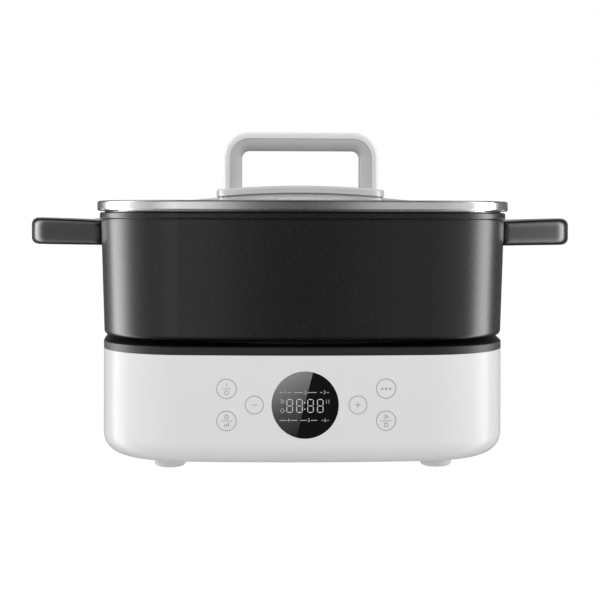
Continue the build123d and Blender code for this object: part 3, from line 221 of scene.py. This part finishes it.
def moulded(name, colour, shade, roughness, spread, grain, relief):
    """A moulded surface: its colour drifts towards a shade of it, and a fine grain breaks the gloss."""
    made = bpy.data.materials.new(name)
    made.use_nodes = True
    tree = made.node_tree.nodes
    links = made.node_tree.links
    skin = tree["Principled BSDF"]
    place = tree.new("ShaderNodeTexCoord")
    drift = tree.new("ShaderNodeTexNoise")
    drift.inputs["Scale"].default_value = 14.0
    drift.inputs["Detail"].default_value = 3.0
    links.new(place.outputs["Object"], drift.inputs["Vector"])
    tint = tree.new("ShaderNodeMix")
    tint.data_type = "RGBA"
    tint.inputs["A"].default_value = (*colour, 1)
    tint.inputs["B"].default_value = (*shade, 1)
    links.new(drift.outputs["Fac"], tint.inputs["Factor"])
    links.new(tint.outputs["Result"], skin.inputs["Base Color"])
    texture = tree.new("ShaderNodeTexNoise")
    texture.inputs["Scale"].default_value = grain
    texture.inputs["Detail"].default_value = 4.0
    links.new(place.outputs["Object"], texture.inputs["Vector"])
    gloss = tree.new("ShaderNodeMapRange")
    gloss.inputs["To Min"].default_value = roughness - spread
    gloss.inputs["To Max"].default_value = roughness + spread
    links.new(texture.outputs["Fac"], gloss.inputs["Value"])
    links.new(gloss.outputs["Result"], skin.inputs["Roughness"])
    bump = tree.new("ShaderNodeBump")
    bump.inputs["Strength"].default_value = 1.0
    bump.inputs["Distance"].default_value = relief
    links.new(texture.outputs["Fac"], bump.inputs["Height"])
    links.new(bump.outputs["Normal"], skin.inputs["Normal"])
    return made


def give(material, *names):
    """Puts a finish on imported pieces."""
    for name in names:
        nodes[name].data.materials.clear()
        nodes[name].data.materials.append(material)


housing_white = moulded(
    "housing_white", (0.81, 0.81, 0.81), (0.79, 0.79, 0.795), 0.20, 0.03, 2600.0, 0.000004
)
housing_white.node_tree.nodes["Principled BSDF"].inputs["Specular IOR Level"].default_value = 0.10
give(housing_white, "base_housing", "bottom_cover")

# ---------------------------------------------------------------- touch keys
# The keys are printed on the housing's front wall in grey ink: a ring with a sign in it, and nothing
# to press. The ink lies on the bowed wall, a few hundredths of a millimetre thick.

key_grey = moulded("key_ink", (0.36, 0.36, 0.365), (0.34, 0.34, 0.345), 0.5, 0.05, 3000.0, 0.000002)
front_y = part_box("base_housing")[0].y
lens_low, lens_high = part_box("display_lens")
display_up = (lens_low.z + lens_high.z) / 2
# Each print starts this far in front of the wall and is then laid on it.
start_distance = 0.012
ink_start_y = front_y - start_distance
ink_thickness = 0.00004
line_width = 0.00042
corner_share = 0.35
facing_front = math.radians(90)


def bar_print(across, up, width, height, turn=0.0):
    """A flat bar of ink on an upright plane, with its corners taken off."""
    bpy.ops.object.select_all(action="DESELECT")
    bpy.ops.mesh.primitive_plane_add(
        size=1, location=(across, ink_start_y, up), rotation=(facing_front, turn, 0)
    )
    bar = bpy.context.object
    bar.scale = (width, height, 1)
    bpy.ops.object.transform_apply(location=True, rotation=True, scale=True)
    bpy.ops.object.mode_set(mode="EDIT")
    bpy.ops.mesh.select_all(action="SELECT")
    bpy.ops.mesh.bevel(offset=min(width, height) * corner_share, segments=2, affect="VERTICES")
    bpy.ops.object.mode_set(mode="OBJECT")
    return bar


def ring_print(across, up, radius, line, corners=96, turn=0.0):
    """A flat ring of ink on an upright plane; few corners make it a square or a triangle."""
    bpy.ops.object.select_all(action="DESELECT")
    bpy.ops.mesh.primitive_circle_add(
        vertices=corners,
        radius=radius,
        fill_type="NOTHING",
        location=(across, ink_start_y, up),
        rotation=(facing_front, turn, 0),
    )
    ring = bpy.context.object
    bpy.ops.object.transform_apply(location=True, rotation=True, scale=True)
    inner = 1 - line / (radius * math.cos(math.pi / corners))
    bpy.ops.object.mode_set(mode="EDIT")
    bpy.ops.mesh.select_all(action="SELECT")
    bpy.ops.mesh.extrude_edges_move()
    bpy.ops.transform.resize(
        value=(inner, inner, inner), center_override=(across, ink_start_y, up)
    )
    bpy.ops.mesh.select_all(action="SELECT")
    bpy.ops.mesh.normals_make_consistent(inside=False)
    bpy.ops.object.mode_set(mode="OBJECT")
    return ring


def word_print(letters, across, up, size):
    """Plain figures or letters as flat ink, centred on a point of an upright plane."""
    bpy.ops.object.select_all(action="DESELECT")
    bpy.ops.object.text_add(location=(across, ink_start_y, up), rotation=(facing_front, 0, 0))
    word = bpy.context.object
    word.data.body = letters
    word.data.size = size
    word.data.align_x = "CENTER"
    word.data.align_y = "CENTER"
    bpy.ops.object.convert(target="MESH")
    bpy.ops.object.transform_apply(location=True, rotation=True, scale=True)
    return bpy.context.object


def lay_on(prints, name, target, ink, lift):
    """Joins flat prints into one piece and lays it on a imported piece's front face."""
    bpy.ops.object.select_all(action="DESELECT")
    for flat in prints:
        flat.select_set(True)
    bpy.context.view_layer.objects.active = prints[0]
    bpy.ops.object.join()
    laid = bpy.context.object
    laid.name = name
    wrap = laid.modifiers.new("lay on the wall", "SHRINKWRAP")
    wrap.target = nodes[target]
    wrap.wrap_method = "PROJECT"
    wrap.use_project_y = True
    wrap.use_positive_direction = True
    wrap.use_negative_direction = False
    wrap.offset = lift
    bpy.ops.object.modifier_apply(modifier=wrap.name)
    body = laid.modifiers.new("ink body", "SOLIDIFY")
    body.thickness = ink_thickness
    body.offset = 1.0
    bpy.ops.object.modifier_apply(modifier=body.name)
    laid.data.materials.clear()
    laid.data.materials.append(ink)
    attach(laid, "base")
    return laid


left_outer, left_inner, right_inner, right_outer = -0.0480, -0.0310, 0.0323, 0.0496
key_rise = 0.0098
outer_ring, inner_ring = 0.00615, 0.0057
upper, lower = display_up + key_rise, display_up - key_rise
sign_shift = 0.0024
sign_line = 0.00038
hairline = 0.0003
clock_line = 0.00034
minus_length, minus_width = 0.0035, 0.0004
bar_width, bar_step = 0.0006, 0.0012
dot_step, dot_radius, dot_line = 0.0024, 0.0007, 0.0005
key_lift = 0.00005
key_prints = [
    ring_print(across, up, radius, line_width)
    for across, up, radius in (
        (left_outer, upper, outer_ring),
        (left_outer, lower, outer_ring),
        (left_inner, display_up, inner_ring),
        (right_inner, display_up, inner_ring),
        (right_outer, upper, outer_ring),
        (right_outer, lower, outer_ring),
    )
]
key_prints += [
    # On and off: I over O, with a divider.
    word_print("I", left_outer, upper + 0.0023, 0.0036),
    bar_print(left_outer, upper, 0.0052, hairline),
    ring_print(left_outer, upper - sign_shift, 0.0014, sign_line, 32),
    # Time and power: a clock face over three rising bars.
    ring_print(left_outer, lower + sign_shift, 0.0015, clock_line, 32),
    bar_print(left_outer, lower + 0.0029, hairline, 0.0010),
    bar_print(left_outer + 0.0004, lower + sign_shift, 0.0009, hairline),
    bar_print(left_outer, lower, 0.0070, hairline),
    bar_print(left_outer - bar_step, lower - 0.0028, bar_width, 0.0012),
    bar_print(left_outer, lower - 0.0025, bar_width, 0.0018),
    bar_print(left_outer + bar_step, lower - 0.0022, bar_width, 0.0024),
    # Less and more.
    bar_print(left_inner, display_up, minus_length, minus_width),
    bar_print(right_inner, display_up, minus_length, minus_width),
    bar_print(right_inner, display_up, minus_width, minus_length),
]
# Mode: three dots in a row.
for step in (-1, 0, 1):
    key_prints.append(ring_print(right_outer + step * dot_step, upper, dot_radius, dot_line, 24))
key_prints += [
    # Start and stop: a triangle over a square.
    ring_print(right_outer, lower + sign_shift, 0.0017, sign_line, 3, math.radians(90)),
    bar_print(right_outer, lower, 0.0076, hairline),
    ring_print(right_outer, lower - sign_shift, 0.0017, sign_line, 4, math.radians(45)),
]
key_signs = lay_on(key_prints, "key_signs", "base_housing", key_grey, key_lift)

# ---------------------------------------------------------------- display
# A round window of smoked acrylic, flush with the wall, with a painted reflection over its left part.
# Behind it white diodes light four seven-segment figures, two signs, two bars and the programme
# numbers.

window = bpy.data.materials.new("smoked_window")
window.use_nodes = True
acrylic = window.node_tree.nodes
acrylic_links = window.node_tree.links
pane = acrylic["Principled BSDF"]
pane.inputs["Roughness"].default_value = 0.06
pane.inputs["Specular IOR Level"].default_value = 0.22
window_place = acrylic.new("ShaderNodeTexCoord")
window_centre = acrylic.new("ShaderNodeMapping")
window_centre.inputs["Location"].default_value = (0, 0, -display_up)
acrylic_links.new(window_place.outputs["Object"], window_centre.inputs["Vector"])
axes = acrylic.new("ShaderNodeSeparateXYZ")
acrylic_links.new(window_centre.outputs["Vector"], axes.inputs[0])
# The painted reflection ends on a straight slanted line, a little left of the middle at the bottom.
slant = acrylic.new("ShaderNodeMath")
slant.operation = "MULTIPLY_ADD"
slant.inputs[1].default_value = 0.2548
slant.inputs[2].default_value = -0.00035
acrylic_links.new(axes.outputs["Z"], slant.inputs[0])
left_of_line = acrylic.new("ShaderNodeMath")
left_of_line.operation = "SUBTRACT"
acrylic_links.new(slant.outputs[0], left_of_line.inputs[0])
acrylic_links.new(axes.outputs["X"], left_of_line.inputs[1])
painted_reflection_mask = acrylic.new("ShaderNodeMapRange")
painted_reflection_mask.inputs["From Min"].default_value = -0.0001
painted_reflection_mask.inputs["From Max"].default_value = 0.0001
acrylic_links.new(left_of_line.outputs[0], painted_reflection_mask.inputs["Value"])
# The painted reflection is a grey grade in the window's colour, lighter towards the upper left.
rise = acrylic.new("ShaderNodeMath")
rise.operation = "MULTIPLY_ADD"
rise.inputs[1].default_value = -0.45
acrylic_links.new(axes.outputs["X"], rise.inputs[0])
acrylic_links.new(axes.outputs["Z"], rise.inputs[2])
painted_reflection_grade = acrylic.new("ShaderNodeValToRGB")
painted_reflection_grade.color_ramp.elements[0].position = 0.0
painted_reflection_grade.color_ramp.elements[0].color = (0.010, 0.010, 0.010, 1)
painted_reflection_grade.color_ramp.elements[1].position = 1.0
painted_reflection_grade.color_ramp.elements[1].color = (0.26, 0.26, 0.26, 1)
painted_reflection_middle = painted_reflection_grade.color_ramp.elements.new(0.5)
painted_reflection_middle.color = (0.075, 0.075, 0.075, 1)
painted_reflection_place = acrylic.new("ShaderNodeMapRange")
painted_reflection_place.inputs["From Min"].default_value = -0.020
painted_reflection_place.inputs["From Max"].default_value = 0.022
acrylic_links.new(rise.outputs[0], painted_reflection_place.inputs["Value"])
acrylic_links.new(painted_reflection_place.outputs["Result"], painted_reflection_grade.inputs["Fac"])
# Smoked acrylic right of the line, the painted reflection left of it.
smoke_and_painted_reflection = acrylic.new("ShaderNodeMix")
smoke_and_painted_reflection.data_type = "RGBA"
smoke_and_painted_reflection.inputs["A"].default_value = (0.006, 0.006, 0.0065, 1)
acrylic_links.new(painted_reflection_mask.outputs["Result"], smoke_and_painted_reflection.inputs["Factor"])
acrylic_links.new(painted_reflection_grade.outputs["Color"], smoke_and_painted_reflection.inputs["B"])
acrylic_links.new(smoke_and_painted_reflection.outputs["Result"], pane.inputs["Base Color"])
give(window, "display_lens")


def diode_light(name, brightness):
    """White light from behind a diffuser, a little uneven from one end of a segment to the other."""
    made = bpy.data.materials.new(name)
    made.use_nodes = True
    lit = made.node_tree.nodes
    lit_links = made.node_tree.links
    segment = lit["Principled BSDF"]
    segment.inputs["Base Color"].default_value = (0.02, 0.02, 0.02, 1)
    segment.inputs["Roughness"].default_value = 0.4
    segment.inputs["Emission Strength"].default_value = 1.0
    place = lit.new("ShaderNodeTexCoord")
    spread_of_light = lit.new("ShaderNodeTexNoise")
    spread_of_light.inputs["Scale"].default_value = 420.0
    lit_links.new(place.outputs["Object"], spread_of_light.inputs["Vector"])
    glow = lit.new("ShaderNodeMix")
    glow.data_type = "RGBA"
    glow.inputs["A"].default_value = (brightness, brightness, brightness, 1)
    glow.inputs["B"].default_value = (brightness * 0.6, brightness * 0.6, brightness * 0.62, 1)
    lit_links.new(spread_of_light.outputs["Fac"], glow.inputs["Factor"])
    lit_links.new(glow.outputs["Result"], segment.inputs["Emission Color"])
    return made


figure_middle = display_up - 0.00048
figure_places = (-0.00945, -0.0035, 0.00325, 0.0092)
figure_half_width, figure_half_height = 0.00172, 0.00392
segment_width = 0.00042
level_length, upright_length = 0.0026, 0.0031
colon_x, colon_dot = -0.00024, 0.0007
display_lift = 0.00002
figures = []
for figure_x in figure_places:
    for level in (-1, 0, 1):
        figures.append(
            bar_print(figure_x, figure_middle + level * figure_half_height, level_length, segment_width)
        )
    for side in (-1, 1):
        for half in (-0.5, 0.5):
            figures.append(
                bar_print(
                    figure_x + side * figure_half_width,
                    figure_middle + half * figure_half_height,
                    segment_width,
                    upright_length,
                )
            )
for level in (-0.5, 0.5):
    figures.append(
        bar_print(colon_x, figure_middle + level * figure_half_height, colon_dot, colon_dot)
    )
display_figures = lay_on(
    figures, "display_figures", "display_lens", diode_light("figure_light", 0.80), display_lift
)

# A triangle and a square at the left, and two upright bars at the right.
signs = [
    ring_print(-0.0140, display_up + 0.0023, 0.0017, hairline, 3, math.radians(90)),
    ring_print(-0.0139, display_up - 0.0034, 0.0016, hairline, 4),
    bar_print(0.0130, display_up + 0.0021, hairline, 0.0026),
    bar_print(0.0145, display_up + 0.0021, hairline, 0.0026),
]
number_size, number_half_width = 0.0030, 0.0013
number_line = 0.0004
upper_row, lower_row = 0.0077, -0.0093
# (number, its middle, half the span of it and its two lines, its row)
for number, middle, half_span, up in (
    ("1", -0.01215, 0.00345, upper_row),
    ("2", 0.0, 0.0070, upper_row),
    ("3", 0.01175, 0.00275, upper_row),
    ("4", -0.01015, 0.00545, lower_row),
    ("5", 0.00225, 0.00515, lower_row),
    ("6", 0.01225, 0.00215, lower_row),
):
    signs.append(word_print(number, middle, display_up + up, number_size))
    line_length = half_span - number_half_width
    for side in (-1, 1):
        signs.append(
            bar_print(
                middle + side * (half_span - line_length / 2), display_up + up, line_length, number_line
            )
        )
display_signs = lay_on(
    signs, "display_signs", "display_lens", diode_light("sign_light", 0.5), display_lift
)

# ---------------------------------------------------------------- controls behind the wall
# The figures' diode block, the sprung touch pads and the buzzer, on the green board that carries
# them. They stand close behind the front wall.

component_black = moulded(
    "component_black", (0.03, 0.03, 0.032), (0.04, 0.04, 0.042), 0.5, 0.08, 1800.0, 0.00001
)
touch_rubber = moulded(
    "touch_rubber", (0.10, 0.10, 0.105), (0.08, 0.08, 0.085), 0.7, 0.08, 1500.0, 0.00001
)
give(component_black, "led_display", "buzzer")
give(touch_rubber, "key_pads")

circuit_board = bpy.data.materials.new("circuit_board")
circuit_board.use_nodes = True
laminate = circuit_board.node_tree.nodes
laminate_links = circuit_board.node_tree.links
lacquer = laminate["Principled BSDF"]
lacquer.inputs["Roughness"].default_value = 0.3
board_place = laminate.new("ShaderNodeTexCoord")
tracks = laminate.new("ShaderNodeTexBrick")
tracks.inputs["Scale"].default_value = 60.0
tracks.inputs["Color1"].default_value = (0.020, 0.110, 0.050, 1)
tracks.inputs["Color2"].default_value = (0.016, 0.095, 0.045, 1)
tracks.inputs["Mortar"].default_value = (0.035, 0.170, 0.080, 1)
laminate_links.new(board_place.outputs["Object"], tracks.inputs["Vector"])
laminate_links.new(tracks.outputs["Color"], lacquer.inputs["Base Color"])
give(circuit_board, "control_board", "power_board")

# ---------------------------------------------------------------- power board and its components
# Mains relay, film and can capacitors, a small wound transformer and a three-way terminal block.
# They stand on the same green laminate as the controls.

component_blue = moulded(
    "component_blue", (0.03, 0.10, 0.32), (0.025, 0.085, 0.28), 0.35, 0.05, 900.0, 0.00001
)
winding_tape = moulded(
    "winding_tape", (0.62, 0.48, 0.12), (0.55, 0.42, 0.10), 0.45, 0.08, 700.0, 0.00002
)
terminal_green = moulded(
    "terminal_green", (0.05, 0.28, 0.12), (0.04, 0.24, 0.10), 0.45, 0.06, 900.0, 0.00001
)
give(component_blue, "power_relay", "filter_capacitors")
give(winding_tape, "transformer")
give(terminal_green, "terminal_block")

# ---------------------------------------------------------------- top cover
# A black heat-resistant frame over the housing: a low band, a flat deck and a raised hub in the middle,
# with a round opening for the heating plate.

cover_black = moulded(
    "cover_black", (0.008, 0.008, 0.0083), (0.011, 0.011, 0.0113), 0.47, 0.06, 1400.0, 0.000012
)
give(cover_black, "top_cover")

# ---------------------------------------------------------------- heater
# A cast aluminium plate, turned on a lathe, with a steel-sheathed element in its back. It stands on
# a bright steel pan that keeps its heat from the boards.


def metal(name, colour, shade, roughness, spread, grain, relief):
    """Bare metal with a drift in its tone and fine scratches in its gloss."""
    made = moulded(name, colour, shade, roughness, spread, grain, relief)
    made.node_tree.nodes["Principled BSDF"].inputs["Metallic"].default_value = 1.0
    return made


turned_aluminium = metal(
    "turned_aluminium", (0.60, 0.60, 0.61), (0.52, 0.52, 0.53), 0.36, 0.08, 500.0, 0.000004
)
turning = turned_aluminium.node_tree.nodes
turning_links = turned_aluminium.node_tree.links
lathe_place = turning.new("ShaderNodeTexCoord")
lathe_rings = turning.new("ShaderNodeTexWave")
lathe_rings.wave_type = "RINGS"
lathe_rings.rings_direction = "Z"
lathe_rings.inputs["Scale"].default_value = 450.0
lathe_rings.inputs["Distortion"].default_value = 0.6
turning_links.new(lathe_place.outputs["Object"], lathe_rings.inputs["Vector"])
lathe_bump = turning.new("ShaderNodeBump")
lathe_bump.inputs["Distance"].default_value = 0.00002
turning_links.new(lathe_rings.outputs["Fac"], lathe_bump.inputs["Height"])
turning_links.new(lathe_bump.outputs["Normal"], turning["Principled BSDF"].inputs["Normal"])
give(turned_aluminium, "heating_plate")

element_steel = metal(
    "element_steel", (0.30, 0.28, 0.27), (0.22, 0.20, 0.19), 0.45, 0.10, 300.0, 0.00002
)
sheet_steel = metal(
    "sheet_steel", (0.66, 0.66, 0.67), (0.60, 0.60, 0.61), 0.28, 0.08, 240.0, 0.00001
)
probe_steel = metal(
    "probe_steel", (0.70, 0.70, 0.71), (0.64, 0.64, 0.65), 0.20, 0.05, 700.0, 0.000004
)
bush_ceramic = moulded(
    "bush_ceramic", (0.74, 0.72, 0.66), (0.68, 0.66, 0.60), 0.6, 0.08, 900.0, 0.00002
)
give(element_steel, "heating_element")
give(sheet_steel, "heat_shield", "thermal_cutout", "probe_holder")
give(probe_steel, "probe_cap", "probe_spring")
give(bush_ceramic, "element_bushes")

# ---------------------------------------------------------------- probe spring
# Four coils of round spring wire under the probe cap, in place of the imported spring. They keep their
# length here; on the real pot they close up by the two millimetres that the cap goes down.

spring_low, spring_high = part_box("probe_spring")
wire_radius = 0.0005
wire_sides = 12
coils = 4
steps_per_coil = 48
coil_radius = (spring_high.x - spring_low.x) / 2 - wire_radius
spring_rise = spring_high.z - spring_low.z - 2 * wire_radius
bpy.ops.object.select_all(action="DESELECT")
bpy.ops.mesh.primitive_circle_add(
    vertices=wire_sides,
    radius=wire_radius,
    location=(coil_radius, 0, spring_low.z + wire_radius),
    rotation=(math.radians(90), 0, 0),
)
bpy.ops.object.transform_apply(location=True, rotation=True, scale=True)
spring_coils = bpy.context.object
spring_coils.name = "spring_coils"
winding = spring_coils.modifiers.new("winding", "SCREW")
winding.axis = "Z"
winding.angle = 2 * math.pi
winding.iterations = coils
winding.screw_offset = spring_rise / coils
winding.steps = steps_per_coil
winding.render_steps = steps_per_coil
bpy.ops.object.modifier_apply(modifier=winding.name)
bpy.ops.object.mode_set(mode="EDIT")
bpy.ops.mesh.select_all(action="SELECT")
bpy.ops.mesh.fill_holes(sides=0)
bpy.ops.mesh.select_all(action="SELECT")
bpy.ops.mesh.normals_make_consistent(inside=False)
bpy.ops.object.mode_set(mode="OBJECT")
spring_coils.data.materials.append(probe_steel)
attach(spring_coils, "base")
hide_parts("probe_spring")
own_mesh(spring_coils)

# ---------------------------------------------------------------- screws
# Zinc-plated steel, cross recessed. The same plating is on every screw, from the ears' long ones to
# the small ones of the boards.

zinc_plate = metal(
    "zinc_plate", (0.58, 0.58, 0.60), (0.48, 0.48, 0.50), 0.32, 0.08, 900.0, 0.00001
)
give(zinc_plate, *[name for name in nodes if name.endswith("_screws")])

# ---------------------------------------------------------------- feet
# Four feet of light grey rubber, each held by a screw in its recess. The rubber is dull and has a
# fine grain.

foot_rubber = moulded(
    "foot_rubber", (0.90, 0.90, 0.90), (0.87, 0.87, 0.87), 0.62, 0.08, 1600.0, 0.00001
)
give(foot_rubber, "foot_front_left", "foot_front_right", "foot_rear_left", "foot_rear_right")

# ---------------------------------------------------------------- mains inlet
# A black three-pin inlet, screwed into the rear wall, with nickel-plated pins. It takes a detachable
# lead.

inlet_black = moulded(
    "inlet_black", (0.018, 0.018, 0.019), (0.024, 0.024, 0.025), 0.4, 0.06, 1500.0, 0.00001
)
pin_nickel = metal(
    "pin_nickel", (0.66, 0.62, 0.54), (0.60, 0.56, 0.48), 0.22, 0.06, 800.0, 0.000006
)
give(inlet_black, "inlet_body")
give(pin_nickel, "inlet_pins")

# ---------------------------------------------------------------- pot
# Die-cast aluminium, coated all over in a black non-stick paint with a fine pale fleck.

coating = bpy.data.materials.new("nonstick_coating")
coating.use_nodes = True
paint = coating.node_tree.nodes
paint_links = coating.node_tree.links
coat = paint["Principled BSDF"]
paint_place = paint.new("ShaderNodeTexCoord")
fleck = paint.new("ShaderNodeTexNoise")
fleck.inputs["Scale"].default_value = 1500.0
fleck.inputs["Detail"].default_value = 2.0
paint_links.new(paint_place.outputs["Object"], fleck.inputs["Vector"])
fleck_tone = paint.new("ShaderNodeValToRGB")
fleck_tone.color_ramp.elements[0].position = 0.42
fleck_tone.color_ramp.elements[0].color = (0.0015, 0.0015, 0.0016, 1)
fleck_tone.color_ramp.elements[1].position = 0.75
fleck_tone.color_ramp.elements[1].color = (0.012, 0.012, 0.0125, 1)
paint_links.new(fleck.outputs["Fac"], fleck_tone.inputs["Fac"])
paint_links.new(fleck_tone.outputs["Color"], coat.inputs["Base Color"])
paint_gloss = paint.new("ShaderNodeMapRange")
paint_gloss.inputs["To Min"].default_value = 0.25
paint_gloss.inputs["To Max"].default_value = 0.31
paint_links.new(fleck.outputs["Fac"], paint_gloss.inputs["Value"])
paint_links.new(paint_gloss.outputs["Result"], coat.inputs["Roughness"])
orange_peel = paint.new("ShaderNodeTexNoise")
orange_peel.inputs["Scale"].default_value = 420.0
paint_links.new(paint_place.outputs["Object"], orange_peel.inputs["Vector"])
peel_bump = paint.new("ShaderNodeBump")
peel_bump.inputs["Distance"].default_value = 0.00003
paint_links.new(orange_peel.outputs["Fac"], peel_bump.inputs["Height"])
paint_links.new(peel_bump.outputs["Normal"], coat.inputs["Normal"])
give(coating, "pot_body")

# ---------------------------------------------------------------- ear handles
# Two loops of black phenolic moulding, each bolted to lugs cast on the pot. Their edges are shaded
# softer than they are cut.

phenolic = moulded(
    "phenolic_black", (0.006, 0.006, 0.0062), (0.009, 0.009, 0.0092), 0.17, 0.03, 1300.0, 0.000012
)
resin = phenolic.node_tree.nodes
soft_edges = resin.new("ShaderNodeBevel")
soft_edges.samples = 12
soft_edges.inputs["Radius"].default_value = 0.006
phenolic.node_tree.links.new(soft_edges.outputs["Normal"], resin["Bump"].inputs["Normal"])
give(phenolic, "ear_left", "ear_right")

# ---------------------------------------------------------------- lid glass and rim
# A shallow dome of clear tempered glass in a rolled rim of polished stainless steel, with a small
# steel-edged vent behind the handle.

lid_clear = bpy.data.materials.new("lid_clear")
lid_clear.use_nodes = True
glass_nodes = lid_clear.node_tree.nodes
glass_links = lid_clear.node_tree.links
melt = glass_nodes["Principled BSDF"]
melt.inputs["Base Color"].default_value = (0.93, 0.95, 0.945, 1)
melt.inputs["Transmission Weight"].default_value = 1.0
melt.inputs["IOR"].default_value = 1.5
glass_place = glass_nodes.new("ShaderNodeTexCoord")
glass_wave = glass_nodes.new("ShaderNodeTexNoise")
glass_wave.inputs["Scale"].default_value = 25.0
glass_links.new(glass_place.outputs["Object"], glass_wave.inputs["Vector"])
glass_gloss = glass_nodes.new("ShaderNodeMapRange")
glass_gloss.inputs["To Min"].default_value = 0.0
glass_gloss.inputs["To Max"].default_value = 0.02
glass_links.new(glass_wave.outputs["Fac"], glass_gloss.inputs["Value"])
glass_links.new(glass_gloss.outputs["Result"], melt.inputs["Roughness"])
give(lid_clear, "lid_glass")

rim_steel = metal(
    "rim_steel", (0.76, 0.76, 0.765), (0.73, 0.73, 0.735), 0.16, 0.01, 420.0, 0.000001
)
give(rim_steel, "lid_rim", "steam_vent")

# ---------------------------------------------------------------- lid handle
# A square loop in two shots: a pale outer shell over a grey inner grip, on an oval saddle with a
# silicone gasket under it. Two long screws hold it through the glass.

shell_grey = moulded(
    "shell_grey", (0.88, 0.88, 0.88), (0.86, 0.86, 0.86), 0.17, 0.04, 2200.0, 0.000004
)
grip_grey = moulded(
    "grip_grey", (0.58, 0.58, 0.58), (0.56, 0.56, 0.56), 0.42, 0.06, 1800.0, 0.000006
)
saddle_grey = moulded(
    "saddle_grey", (0.68, 0.68, 0.68), (0.66, 0.66, 0.66), 0.26, 0.05, 2200.0, 0.000004
)
gasket_silicone = moulded(
    "gasket_silicone", (0.42, 0.42, 0.42), (0.38, 0.38, 0.38), 0.55, 0.06, 1200.0, 0.00001
)
give(shell_grey, "handle_shell")
give(grip_grey, "handle_grip")
give(saddle_grey, "handle_saddle")
give(gasket_silicone, "handle_gasket", "handle_seals")
